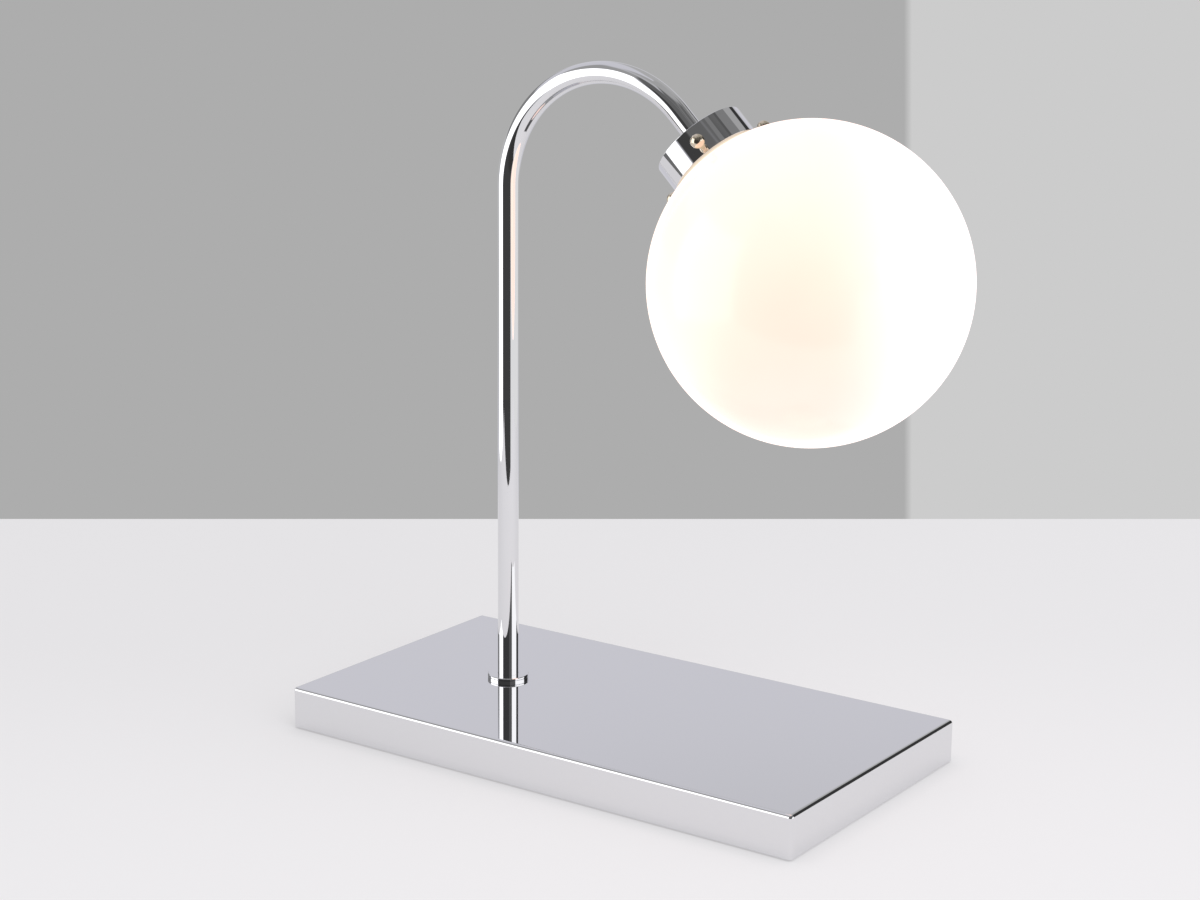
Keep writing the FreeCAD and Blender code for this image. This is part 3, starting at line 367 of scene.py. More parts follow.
FINISHES: dict[Slot, Finish] = {
    # Chrome, buffed: a clear, faintly blue mirror that shows the room and little of itself.
    Slot.CHROME: BrightPlate("polished_chrome_plate", "E7E7E9"),
    # Blown three-layer opal glass, lit: it hides the bulb, glows cream and keeps a wet gloss.
    Slot.OPAL_GLASS: LitOpalGlass("blown_opal_glass", "FFDCD0", strength=1.35, areas=GLOBE_AREAS),
    # Cold-rolled sheet, zinc plated: a dull, cool grey with cloudy spangle.
    Slot.STEEL_PLATE: WorkedMetal("zinc_plated_steel_sheet", "B9BCC0", "A3A6AA"),
    # Foamed rubber: a soft black with open pores and no shine.
    Slot.SOFT_PAD: MouldedPolymer(
        "foamed_rubber_pad", "1B1B1C", "121213",
        roughness=0.85, patch_mm=8.0, grit_mm=0.8, grit_height_mm=0.1,
    ),
    # Sand-cast iron, painted: satin black over the sand's coarse dimples.
    Slot.IRON: MouldedPolymer(
        "black_painted_cast_iron", "2A2A2C", "1E1E20",
        roughness=0.5, patch_mm=12.0, grit_mm=2.0, grit_height_mm=0.15,
    ),
    # Moulded nitrile rubber: an even black with a weak sheen.
    Slot.GROMMET_RUBBER: MouldedPolymer(
        "moulded_black_rubber", "161617", "0F0F10",
        roughness=0.6, patch_mm=5.0, grit_mm=0.5, grit_height_mm=0.02,
    ),
    # Injection-moulded nylon: warm white and slightly waxy.
    Slot.TERMINAL_PLASTIC: MouldedPolymer("moulded_white_nylon", "E2DFD6", "D8D4C8"),
    # Brass from the lathe: yellow, with a soft, uneven shine.
    Slot.BRASS: WorkedMetal(
        "turned_brass", "C9A560", "B08E4C", patch_mm=3.0, smooth=0.22, rough=0.38
    ),
    # Steel screws, bright zinc plated: silvery, a little cloudy.
    Slot.SCREW_ZINC: WorkedMetal(
        "bright_zinc_steel", "C4C7CB", "AEB1B6", patch_mm=2.0, smooth=0.2, rough=0.35
    ),
    # Extruded vinyl: off-white, with the low sheen of a wire's sleeve.
    Slot.LEAD_INSULATION: MouldedPolymer(
        "extruded_lead_sleeve", "E9E8E4", "DEDCD6", roughness=0.35
    ),
    # Moulded silicone: milky grey and satin.
    Slot.SILICONE: MouldedPolymer("translucent_silicone", "DADAD8", "CECECB", roughness=0.45),
    # Nylon rod, turned: off-white, matt from the tool.
    Slot.NYLON: MouldedPolymer(
        "turned_nylon", "E8E5DC", "DCD8CD", roughness=0.45, patch_mm=3.0
    ),
    # Thermoset, pressed in a hot mould: clean white with a glossy skin.
    Slot.HOLDER_PLASTIC: MouldedPolymer(
        "white_thermoset_plastic", "ECEAE4", "E2DFD8", roughness=0.3
    ),
    # Pressed ceramic, glazed: warm white under a wet gloss.
    Slot.CERAMIC: MouldedPolymer("glazed_ceramic", "EFEBE2", "E5E0D4", roughness=0.15),
    # Bulb glass, coated inside: an even, slightly warm white light.
    Slot.BULB_GLASS: LitOpalGlass("coated_bulb_glass", "FFF0D8", strength=2.0),
    # Drawn brass cap, nickel plated: warm silver with faint drawing marks.
    Slot.BULB_METAL: WorkedMetal(
        "nickel_plated_cap", "CFCEC9", "B7B6B1", patch_mm=2.0, smooth=0.18, rough=0.3
    ),
    # Black glass, pressed round the contact: deep black with sharp highlights.
    Slot.BULB_BLACK_GLASS: MouldedPolymer(
        "pressed_black_glass", "0D0D0E", "080809", roughness=0.1
    ),
}


# --- meshes --------------------------------------------------------------------------


def arc(centre: tuple[float, float], radius: float, start: float, end: float, steps: int) -> Outline:
    """Points of an arc, with both of its ends.

    Args:
        centre: The arc's centre.
        radius: Its radius.
        start: Angle of its first point, in degrees from the first axis.
        end: Angle of its last point.
        steps: How many chords it has.

    Returns:
        The points.
    """
    angles = [math.radians(start + (end - start) * step / steps) for step in range(steps + 1)]
    return [
        (centre[0] + radius * math.cos(angle), centre[1] + radius * math.sin(angle))
        for angle in angles
    ]


def circle(
    made: bmesh.types.BMesh, place: Matrix, radius: float, level: float, facets: int
) -> Ring:
    """Add a circle of points about a Z axis.

    Args:
        made: The geometry that gets them.
        place: Where the axis is.
        radius: The circle's radius.
        level: Its place along the axis.
        facets: How many points it has.

    Returns:
        The points.
    """
    turns = [math.tau * step / facets for step in range(facets)]
    points = [Vector((radius * math.cos(t), radius * math.sin(t), level)) for t in turns]
    return [made.verts.new(place @ point) for point in points]


def bridge(made: bmesh.types.BMesh, first: Ring, second: Ring) -> None:
    """Join two rings of as many points with a band of faces.

    Args:
        made: The geometry that gets the faces.
        first: One ring.
        second: The other ring.
    """
    for step in range(len(first)):
        after = (step + 1) % len(first)
        made.faces.new([first[step], first[after], second[after], second[step]])


def crown(made: bmesh.types.BMesh, ring: Ring, tip: Vector) -> None:
    """Close a ring with a fan of faces that meet at one point.

    Args:
        made: The geometry that gets the faces.
        ring: The ring.
        tip: The point.
    """
    top = made.verts.new(tip)
    for step in range(len(ring)):
        made.faces.new([ring[step], ring[(step + 1) % len(ring)], top])


def plain_object(name: str, made: bmesh.types.BMesh) -> bpy.types.Object:
    """Turn edited geometry into an object as it is.

    Args:
        name: The object's name.
        made: The geometry, which is freed.

    Returns:
        The object, linked to the scene.
    """
    bmesh.ops.remove_doubles(made, verts=made.verts, dist=1e-7)
    bmesh.ops.recalc_face_normals(made, faces=made.faces)
    mesh = bpy.data.meshes.new(name)
    made.to_mesh(mesh)
    made.free()
    piece = bpy.data.objects.new(name, mesh)
    bpy.context.scene.collection.objects.link(piece)
    return piece


def carve(blank: bmesh.types.BMesh, cutters: list[bmesh.types.BMesh]) -> bmesh.types.BMesh:
    """Cut shapes out of a solid.

    Args:
        blank: The solid, which is freed.
        cutters: The shapes, which are freed.

    Returns:
        What is left.
    """
    piece = plain_object("blank", blank)
    tools = [plain_object("cutter", cutter) for cutter in cutters]
    for tool in tools:
        cut = piece.modifiers.new("cut", "BOOLEAN")
        cut.operation = "DIFFERENCE"
        cut.solver = "EXACT"
        cut.object = tool
    evaluated = piece.evaluated_get(bpy.context.evaluated_depsgraph_get())
    left = bmesh.new()
    left.from_mesh(evaluated.to_mesh())
    evaluated.to_mesh_clear()
    for used in [piece, *tools]:
        mesh = used.data
        bpy.data.objects.remove(used)
        bpy.data.meshes.remove(mesh)
    return left


def mesh_object(name: str, made: bmesh.types.BMesh, sharp_degrees: float = 35.0) -> bpy.types.Object:
    """Turn edited geometry into a shaded piece.

    Args:
        name: The piece's name.
        made: The geometry, which is freed.
        sharp_degrees: Edges that turn by more than this stay crisp.

    Returns:
        The piece, linked to the scene.
    """
    piece = plain_object(name, made)
    piece.data.shade_smooth()
    piece.data.set_sharp_from_angle(angle=math.radians(sharp_degrees))
    even = piece.modifiers.new("even_normals", "WEIGHTED_NORMAL")
    even.keep_sharp = True
    return piece


def lathe(name: str, outline: Outline, place: Matrix, facets: int) -> bpy.types.Object:
    """Turn a closed half section, clear of its axis, about Z.

    Args:
        name: The piece's name.
        outline: (radius, level) points, of which the last joins the first.
        place: Where the turned piece goes.
        facets: How many facets go round.

    Returns:
        The piece.
    """
    made = bmesh.new()
    rings = [circle(made, place, radius, level, facets) for radius, level in outline]
    for first, second in zip(rings, rings[1:] + rings[:1]):
        bridge(made, first, second)
    return mesh_object(name, made)


def finish_piece(
    piece: bpy.types.Object, slot: Slot, body: str, *nodes: str, finish: Finish | None = None
) -> bpy.types.Object:
    """Give a piece its finish, its body and the nodes that it stands for.

    Args:
        piece: The piece.
        slot: The record's slot that it takes its finish from.
        body: The body that it rides on.
        *nodes: The nodes that it replaces.
        finish: A finish of its own, where it differs from the rest of the slot.

    Returns:
        The piece.
    """
    piece.data.materials.clear()
    piece.data.materials.append((finish or FINISHES[slot]).material())
    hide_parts(*nodes)
    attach(piece, body)
    LOG.info("%s: %d faces, %s", piece.name, len(piece.data.polygons), slot.value)
    return piece


def dress_nodes(shown: set[str]) -> None:
    """Give every node that still shows the finish of its slot.

    Args:
        shown: Names of the nodes that no piece replaces.
    """
    slots = {part["node"]: Slot(part["material_slot"]) for part in frame["record"]["subparts"]}
    for name in sorted(shown):
        node = frame["nodes"][name]
        node.data.materials.clear()
        node.data.materials.append(FINISHES[slots[name]].material())
        LOG.info("%s: carried over, %s", name, slots[name].value)


# --- the lamp ------------------------------------------------------------------------


@dataclass
class PressedBase:
    """The chromed steel box, open underneath."""

    wall: float = 1.5 * MM
    top_radius: float = 2.2 * MM
    bevel_steps: int = 8
    arm_hole_radius: float = 5.25 * MM
    inlet_radius: float = 5.0 * MM
    inlet_height: float = 14.0 * MM
    hole_facets: int = 48
    cutter_reach: float = 4.5 * MM  # well past the wall

    def block(self, low: Vector, high: Vector) -> bmesh.types.BMesh:
        """Make a plain box between two corners.

        Args:
            low: The corner with the lowest coordinates.
            high: The corner opposite.

        Returns:
            The geometry.
        """
        made = bmesh.new()
        place = Matrix.Translation((low + high) / 2) @ Matrix.Diagonal((*(high - low), 1.0))
        bmesh.ops.create_cube(made, size=1.0, matrix=place)
        return made

    def rounded_box(self, low: Vector, high: Vector) -> bmesh.types.BMesh:
        """Make the outside, with its top and upright edges rounded.

        Args:
            low: The corner with the lowest coordinates.
            high: The corner opposite.

        Returns:
            The geometry.
        """
        made = self.block(low, high)
        middle = (low.z + high.z) / 2
        rounded = [edge for edge in made.edges if max(v.co.z for v in edge.verts) > middle]
        bmesh.ops.bevel(
            made,
            geom=rounded,
            offset=self.top_radius,
            offset_type="OFFSET",
            segments=self.bevel_steps,
            profile=0.5,
            affect="EDGES",
        )
        return made

    def hole(self, radius: float, place: Matrix) -> bmesh.types.BMesh:
        """Make a round cutter.

        Args:
            radius: The hole's radius.
            place: The outside of the wall, with Z through it.

        Returns:
            The geometry.
        """
        made = bmesh.new()
        bmesh.ops.create_cone(
            made,
            cap_ends=True,
            segments=self.hole_facets,
            radius1=radius,
            radius2=radius,
            depth=2 * self.cutter_reach,
            matrix=place,
        )
        return made

    def build(self) -> bpy.types.Object:
        """Make the shell.

        Returns:
            The piece.
        """
        low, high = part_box("base_shell")
        collar_low, collar_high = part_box("foot_collar")
        arm_x = (collar_low.x + collar_high.x) / 2
        margin = Vector((self.wall, self.wall, self.wall))
        below = Vector((0.0, 0.0, self.cutter_reach))
        facing = Matrix.Rotation(math.pi / 2, 4, "Y")
        cutters = [
            self.block(low + margin - below, high - margin),
            self.hole(self.arm_hole_radius, Matrix.Translation((arm_x, 0, high.z))),
            self.hole(self.inlet_radius, Matrix.Translation((low.x, 0, self.inlet_height)) @ facing),
        ]
        piece = mesh_object("pressed_base_shell", carve(self.rounded_box(low, high), cutters))
        return finish_piece(piece, Slot.CHROME, "root", "base_shell")


@dataclass
class BentArm:
    """The chromed tube and the collar at its foot."""

    tube_wall: float = 1.8 * MM
    tapped_radius: float = 5.05 * MM
    bend_radius: float = 69.5 * MM
    bend_angle: float = 135.0
    rise: float = 302.0 * MM
    tail: float = 19.0 * MM
    tube_facets: int = 64
    bend_rings: int = 90
    collar_recess: float = 1.4 * MM
    collar_gap: float = 0.05 * MM
    collar_chamfer: float = 0.35 * MM
    groove_depth: float = 0.7 * MM
    groove_half_width: float = 0.22 * MM
    collar_facets: int = 128
    foot: Vector = field(init=False)
    tube_radius: float = field(init=False)
    base_top: float = field(init=False)

    def __post_init__(self) -> None:
        """Read the foot's place and the tube's radius from the frame."""
        low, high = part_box("foot_collar")
        tube_low, tube_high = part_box("arm_tube")
        self.base_top = low.z
        self.foot = Vector(((low.x + high.x) / 2, 0.0, tube_low.z))
        self.tube_radius = (tube_high.y - tube_low.y) / 2

    def stations(self) -> list[Matrix]:
        """Places along the tube's line.

        Returns:
            A matrix for each, whose Z runs along the tube towards the gallery.
        """
        centre = Vector((self.foot.x + self.bend_radius, 0.0, self.base_top + self.rise))
        bend = []
        for ring in range(self.bend_rings + 1):
            turn = Matrix.Rotation(math.radians(self.bend_angle) * ring / self.bend_rings, 4, "Y")
            outwards = turn @ Vector((-self.bend_radius, 0.0, 0.0))
            bend.append(Matrix.Translation(centre + outwards) @ turn)
        end = bend[-1] @ Matrix.Translation((0.0, 0.0, self.tail))
        return [Matrix.Translation(self.foot), *bend, end]

    def gallery_place(self) -> Matrix:
        """Where the gallery's own axis lies, with Z from the arm's end into the globe."""
        return self.stations()[-1]

    def tube(self) -> bpy.types.Object:
        """Make the tube.

        Returns:
            The piece.
        """
        made = bmesh.new()
        outside, bore = [
            [circle(made, place, radius, 0.0, self.tube_facets) for place in self.stations()]
            for radius in (self.tube_radius, self.tube_radius - self.tube_wall)
        ]
        rings = outside + bore[::-1]
        for first, second in zip(rings, rings[1:] + rings[:1]):
            bridge(made, first, second)
        return finish_piece(mesh_object("bent_arm_tube", made), Slot.CHROME, "root", "arm_tube")

    def collar(self) -> bpy.types.Object:
        """Make the collar, with the fine groove round its middle.

        Returns:
            The piece.
        """
        low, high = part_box("foot_collar")
        radius = (high.y - low.y) / 2
        top = high.z - low.z
        bore = self.tube_radius + self.collar_gap
        outline = [
            (self.tapped_radius, 0.0),
            (radius, 0.0),
            (radius, top / 2 - self.groove_half_width),
            (radius - self.groove_depth, top / 2),
            (radius, top / 2 + self.groove_half_width),
            (radius, top - self.collar_chamfer),
            (radius - self.collar_chamfer, top),
            (bore, top),
            (bore, self.collar_recess),
            (self.tapped_radius, self.collar_recess),
        ]
        place = Matrix.Translation((self.foot.x, 0.0, low.z))
        piece = lathe("turned_foot_collar", outline, place, self.collar_facets)
        return finish_piece(piece, Slot.CHROME, "root", "foot_collar")

    def build(self) -> None:
        """Make the tube and the collar."""
        self.tube()
        self.collar()


@dataclass
class Gallery:
    """The turned cup and its three ball-headed screws."""

    place: Matrix
    cup_radius: float = 27.5 * MM
    cup_depth: float = 17.0 * MM
    cup_wall: float = 2.0 * MM
    edge_radius: float = 0.4 * MM
    centre_hole: float = 5.25 * MM
    cup_facets: int = 192
    screws: tuple[str, ...] = ("under", "back", "front")
    first_turn: float = 3.5  # degrees, of the first screw about the gallery's axis
    screw_depth: float = 12.0 * MM  # from the arm's end to the screws' axes
    screw_start: float = 24.0 * MM  # from the gallery's axis to a stem's inner end
    screw_reach: float = 36.9 * MM  # from the gallery's axis to a ball's centre
    ball_radius: float = 4.0 * MM
    ball_steps: int = 40
    stem_radius: float = 2.0 * MM
    thread_pitch: float = 0.7 * MM
    thread_depth: float = 0.25 * MM
    rows_per_turn: int = 8
    screw_facets: int = 48
    peg_bore_radius: float = 0.8 * MM
    peg_bore_depth: float = 2.1 * MM

    def cup(self) -> bpy.types.Object:
        """Make the cup.

        Returns:
            The piece.
        """
        edge, radius, depth = self.edge_radius, self.cup_radius, self.cup_depth
        inside = radius - self.cup_wall
        outline = [(self.centre_hole, 0.0)]
        outline += arc((radius - edge, edge), edge, -90, 0, steps=8)
        outline += arc((radius - edge, depth - edge), edge, 0, 90, steps=5)
        outline += [(inside, depth), (inside, self.cup_wall), (self.centre_hole, self.cup_wall)]
        piece = lathe("turned_gallery_cup", outline, self.place, self.cup_facets)
        return finish_piece(piece, Slot.CHROME, "root", "gallery_cup")

    def thread_ring(self, made: bmesh.types.BMesh, place: Matrix, level: float, end: float) -> Ring:
        """Add one ring of the threaded stem.

        Args:
            made: The geometry that gets it.
            place: Where the stem's axis is.
            level: The ring's place along the stem.
            end: Where the stem ends in the ball, up to which the thread fades out.

        Returns:
            The ring's points.
        """
        depth = self.thread_depth * min(1.0, (end - level) / self.thread_pitch)
        ring = []
        for step in range(self.screw_facets):
            share = step / self.screw_facets
            phase = (level / self.thread_pitch - share) % 1.0
            radius = self.stem_radius - depth * (1 - abs(2 * phase - 1))
            turn = math.tau * share
            point = Vector((radius * math.cos(turn), radius * math.sin(turn), level))
            ring.append(made.verts.new(place @ point))
        return ring

    def screw(self, name: str, angle: float) -> bpy.types.Object:
        """Make one ball-headed screw with its thread and the bore for its tip's peg.

        Args:
            name: Which screw it is.
            angle: Its turn about the gallery's axis, in degrees.

        Returns:
            The piece.
        """
        outwards = Matrix.Rotation(math.radians(angle), 4, "Z") @ Matrix.Rotation(math.pi / 2, 4, "Y")
        depth = Matrix.Translation((0.0, 0.0, self.screw_depth))
        start = Matrix.Translation((0.0, 0.0, self.screw_start))
        place = self.place @ depth @ outwards @ start
        centre = self.screw_reach - self.screw_start
        neck = math.asin(self.stem_radius / self.ball_radius)
        stem_end = centre - self.ball_radius * math.cos(neck)
        rows = int(stem_end / self.thread_pitch * self.rows_per_turn)
        ball = arc((0.0, centre), self.ball_radius, math.degrees(neck) - 90, 90, self.ball_steps)
        made = bmesh.new()
        rings = [
            self.thread_ring(made, place, stem_end * row / rows, stem_end) for row in range(rows + 1)
        ]
        rings += [
            circle(made, place, radius, level, self.screw_facets) for radius, level in ball[1:-1]
        ]
        bore = [
            circle(made, place, self.peg_bore_radius, level, self.screw_facets)
            for level in (self.peg_bore_depth, 0.0)
        ]
        for first, second in zip(bore + rings, bore[1:] + rings):
            bridge(made, first, second)
        crown(made, rings[-1], place @ Vector((0.0, 0.0, centre + self.ball_radius)))
        crown(made, bore[0], place @ Vector((0.0, 0.0, self.peg_bore_depth)))
        piece = mesh_object(f"ball_screw_{name}", made)
        body, node = f"thumb_{name}", f"thumb_screw_{name}"
        return finish_piece(piece, Slot.CHROME, body, node, finish=SCREW_PLATE)

    def build(self) -> None:
        """Make the cup and the screws."""
        self.cup()
        for number, name in enumerate(self.screws):
            self.screw(name, self.first_turn + 360 * number / len(self.screws))


@dataclass
class BlownGlobe:
    """The opal glass globe with its lipped neck."""

    place: Matrix
    rim_radius: float  # of the gallery's rim, above which the glass stands
    rim_depth: float
    radius: float = 89.0 * MM
    wall: float = 2.5 * MM
    rim_gap: float = 1.65 * MM
    neck_radius: float = 22.5 * MM
    neck_fillet: float = 3.0 * MM
    neck_bore: float = 20.0 * MM
    lip_radius: float = 24.5 * MM
    lip_top: float = 3.5 * MM
    lip_height: float = 4.0 * MM
    lip_rounding: float = 1.2 * MM
    facets: int = 192

    def skin(self, centre: float) -> Outline:
        """Draw the outside, from the neck's bore to near the far pole.

        Args:
            centre: Depth of the globe's centre.

        Returns:
            (radius, depth) points.
        """
        throat = self.neck_radius + self.neck_fillet
        reach = self.radius + self.neck_fillet
        fillet_depth = centre - math.sqrt(reach ** 2 - throat ** 2)
        turn = math.degrees(math.atan2(centre - fillet_depth, throat))
        inset, rounding = self.lip_radius - self.lip_rounding, self.lip_rounding
        lip_bottom = self.lip_top + self.lip_height
        outline = [(self.neck_bore, self.lip_top)]
        outline += arc((inset, self.lip_top + rounding), rounding, -90, 0, steps=8)
        outline += arc((inset, lip_bottom - rounding), rounding, 0, 90, steps=8)
        outline += [(self.neck_radius, lip_bottom)]
        outline += arc((throat, fillet_depth), self.neck_fillet, 180, 180 - turn, steps=10)
        outline += arc((0.0, centre), self.radius, -turn, 90, steps=110)[1:-1]
        return outline

    def build(self) -> bpy.types.Object:
        """Turn the outside and the inside, each closed at the far pole, as one wall.

        Returns:
            The piece.
        """
        over_rim = math.sqrt(self.radius ** 2 - self.rim_radius ** 2)
        centre = self.rim_depth + self.rim_gap + over_rim
        inner = self.radius - self.wall
        mouth = math.degrees(math.acos(self.neck_bore / inner))
        lining = arc((0.0, centre), inner, 90, -mouth, steps=90)[1:]
        made = bmesh.new()
        rings = [
            circle(made, self.place, radius, level, self.facets)
            for radius, level in lining + self.skin(centre)
        ]
        for first, second in zip(rings, rings[1:]):
            bridge(made, first, second)
        for ring, radius in ((rings[-1], self.radius), (rings[0], inner)):
            crown(made, ring, self.place @ Vector((0.0, 0.0, centre + radius)))
        piece = mesh_object("blown_opal_globe", made)
        return finish_piece(piece, Slot.OPAL_GLASS, "root", "globe_glass")


# --- studio --------------------------------------------------------------------------


@dataclass
class PhotoCamera:
    """The camera, solved from the photograph's edges."""

    image_width_px: float = 1200.0
    focal_length_px: float = 2384.36
    sensor_mm: float = 36.0
    azimuth: float = CAMERA_AZIMUTH
    elevation: float = 13.207
    roll: float = 0.511
    distance: float = 1.42635
    aim: Vector = field(default_factory=lambda: Vector((-0.03293, 0.02604, 0.17131)))

    def build(self) -> None:
        """Place the camera and make it the scene's."""
        data = bpy.data.cameras.new("photo_camera")
        data.sensor_width = self.sensor_mm
        data.lens = self.focal_length_px / self.image_width_px * self.sensor_mm
        camera = bpy.data.objects.new("photo_camera", data)
        bpy.context.scene.collection.objects.link(camera)
        a, e = math.radians(self.azimuth), math.radians(self.elevation)
        back = Vector((math.sin(a) * math.cos(e), -math.cos(a) * math.cos(e), math.sin(e)))
        right = Vector((math.cos(a), math.sin(a), 0.0))
        turn = Matrix.Rotation(math.radians(self.roll), 3, back)
        axes = Matrix((turn @ right, turn @ back.cross(right), back)).transposed()
        camera.matrix_world = Matrix.Translation(self.aim + back * self.distance) @ axes.to_4x4()
        bpy.context.scene.camera = camera


@dataclass
class TableTop:
    """The pale table that the lamp stands on, with its far edge square to the camera."""

    azimuth: float = 36.91
    back: float = 0.525
    front: float = 0.55
    side: float = 0.75
    tone: str = "ECEAEB"
    # Painted shade: the far tone darkens the table towards its back edge.
    far_shade_tone: str = "E2E0E1"
    tone_span: tuple[float, float] = (-0.3, 0.2)  # depths between which the tone changes
    shaded_tone: str = "A3A3A6"
    even_share: float = 0.62
    # Painted shade: occlusion darkens the table's glow where the base meets it, within this reach and
    # by this share.
    contact_shade_reach: float = 0.014
    contact_shade_share: float = 0.22

    def seen_tone(self, tree: Tree) -> Socket:
        """Work out the colour, with painted shade: a little darker far off, and darker where the base
        meets the table, from the occlusion there.

        Args:
            tree: The material's node tree.

        Returns:
            The colour's socket.
        """
        place = add_node(tree, "ShaderNodeTexCoord").outputs["Object"]
        away = Matrix.Rotation(math.radians(self.azimuth), 3, "Z") @ Vector((0.0, 1.0, 0.0))
        depth = add_node(tree, "ShaderNodeVectorMath", {0: place, 1: away}, operation="DOT_PRODUCT")
        # Painted shade: the tone darkens with depth across the table.
        near_end, far_end = self.tone_span
        inputs = {"Value": depth.outputs["Value"], "From Min": near_end, "From Max": far_end}
        far = add_node(tree, "ShaderNodeMapRange", inputs).outputs["Result"]
        inputs = {FACTOR: far, FIRST: linear(self.tone), SECOND: linear(self.far_shade_tone)}
        tone = add_node(tree, "ShaderNodeMix", inputs, data_type="RGBA").outputs[BLEND]
        # Painted shade: ambient occlusion darkens the glow where the base meets the table.
        inputs = {"Color": tone, "Distance": self.contact_shade_reach}
        contact = add_node(tree, "ShaderNodeAmbientOcclusion", inputs).outputs["Color"]
        inputs = {FACTOR: self.contact_shade_share, FIRST: tone, SECOND: contact}
        return add_node(tree, "ShaderNodeMix", inputs, data_type="RGBA").outputs[BLEND]

    def material(self) -> bpy.types.Material:
        """Make white laminate, pressed matt: no gloss, and soft, pale shadows.

        The rays by which the camera, metal and glass see it get part of its light as a glow, even but
        for the painted shade far off and where the base meets the table, so that the table looks as
        pale as the paper sweep of a studio.

        Returns:
            The material.
        """
        material = bpy.data.materials.new("matt_white_laminate")
        material.use_nodes = True
        tree = material.node_tree
        tree.nodes.clear()
        real = add_node(tree, "ShaderNodeBsdfDiffuse", {"Color": linear(self.tone)})
        shaded = add_node(tree, "ShaderNodeBsdfDiffuse", {"Color": linear(self.shaded_tone)})
        # The glow carries the painted shade worked out in seen_tone.
        inputs = {"Color": self.seen_tone(tree), "Strength": self.even_share}
        even = add_node(tree, "ShaderNodeEmission", inputs)
        shown = add_node(tree, "ShaderNodeAddShader", {0: shaded.outputs[0], 1: even.outputs[0]})
        rays = add_node(tree, "ShaderNodeLightPath").outputs
        inputs = {0: rays["Is Glossy Ray"], 1: rays["Is Transmission Ray"]}
        mirrored = add_node(tree, "ShaderNodeMath", inputs, operation="ADD").outputs[0]
        inputs = {0: mirrored, 1: rays["Is Camera Ray"]}
        seen = add_node(tree, "ShaderNodeMath", inputs, operation="ADD", use_clamp=True)
        inputs = {0: seen.outputs[0], 1: real.outputs[0], 2: shown.outputs[0]}
        shader = add_node(tree, "ShaderNodeMixShader", inputs)
        add_node(tree, "ShaderNodeOutputMaterial", {"Surface": shader.outputs[0]})
        return material

    def build(self) -> None:
        """Lay the table top."""
        made = bmesh.new()
        turn = Matrix.Rotation(math.radians(self.azimuth), 4, "Z")
        corners = [
            (-self.side, -self.front, 0.0),
            (self.side, -self.front, 0.0),
            (self.side, self.back, 0.0),
            (-self.side, self.back, 0.0),
        ]
        made.faces.new([made.verts.new(turn @ Vector(corner)) for corner in corners])
        top = mesh_object("table_top", made)
        top.data.materials.append(self.material())


@dataclass(frozen=True)
class Panel:
    """One lit or dark part of the room, as polished metal sees it.

    Azimuths are degrees to the right of the camera's side, and elevations are degrees above
    the horizon. The blur is the width of its soft edges, in degrees.
    """

    label: str
    azimuth: tuple[float, float]
    elevation: tuple[float, float]
    blur: float
    tone: float


# A later panel stands in front of an earlier one.
ROOM = (
    Panel("wall behind, at the right", (98, 182), (24, 80), 12.0, 0.48),
    Panel("ceiling", (-90, 150), (60, 120), 24.0, 0.42),
    Panel("wall behind, below the table", (118, 242), (-12, 7), 6.0, 0.53),
    Panel("wall above the window", (-118, -38), (31, 56), 8.0, 0.37),
    Panel("window", (-113, -60), (-27, 31), 3.0, 1.9),
    Panel("floor under the window", (-112, -91), (-29, -19), 3.0, 0.17),
    Panel("dark room behind the camera", (-58, 27), (-60, 26), 4.0, 0.055),
    Panel("room behind the camera", (-58, 12), (24, 52), 5.0, 0.14),
    Panel("dark floor behind the camera", (-50, 20), (-31, -17), 5.0, 0.039),
    Panel("ceiling in front", (-30, 75), (50, 68), 10.0, 0.15),
    Panel("reflector at the right", (28, 132), (-30, 3), 4.0, 0.87),
    Panel("room at the right", (12, 72), (3, 62), 3.0, 0.12),
    Panel("lit beam", (12, 30), (53, 68), 4.0, 0.22),
    Panel("shaded beam", (60, 73), (53, 68), 3.0, 0.11),
    Panel("window at the right", (43, 103), (-3, 24), 2.0, 1.4),
    Panel("wall at the right", (73, 113), (30, 64), 3.0, 0.235),
    Panel("corner at the right", (113, 138), (30, 54), 3.0, 0.42),
    Panel("dark doorway", (103, 145), (3, 36), 2.0, 0.04),
    Panel("dark curtain at the left", (-166, -116), (4, 20), 3.0, 0.24),
)


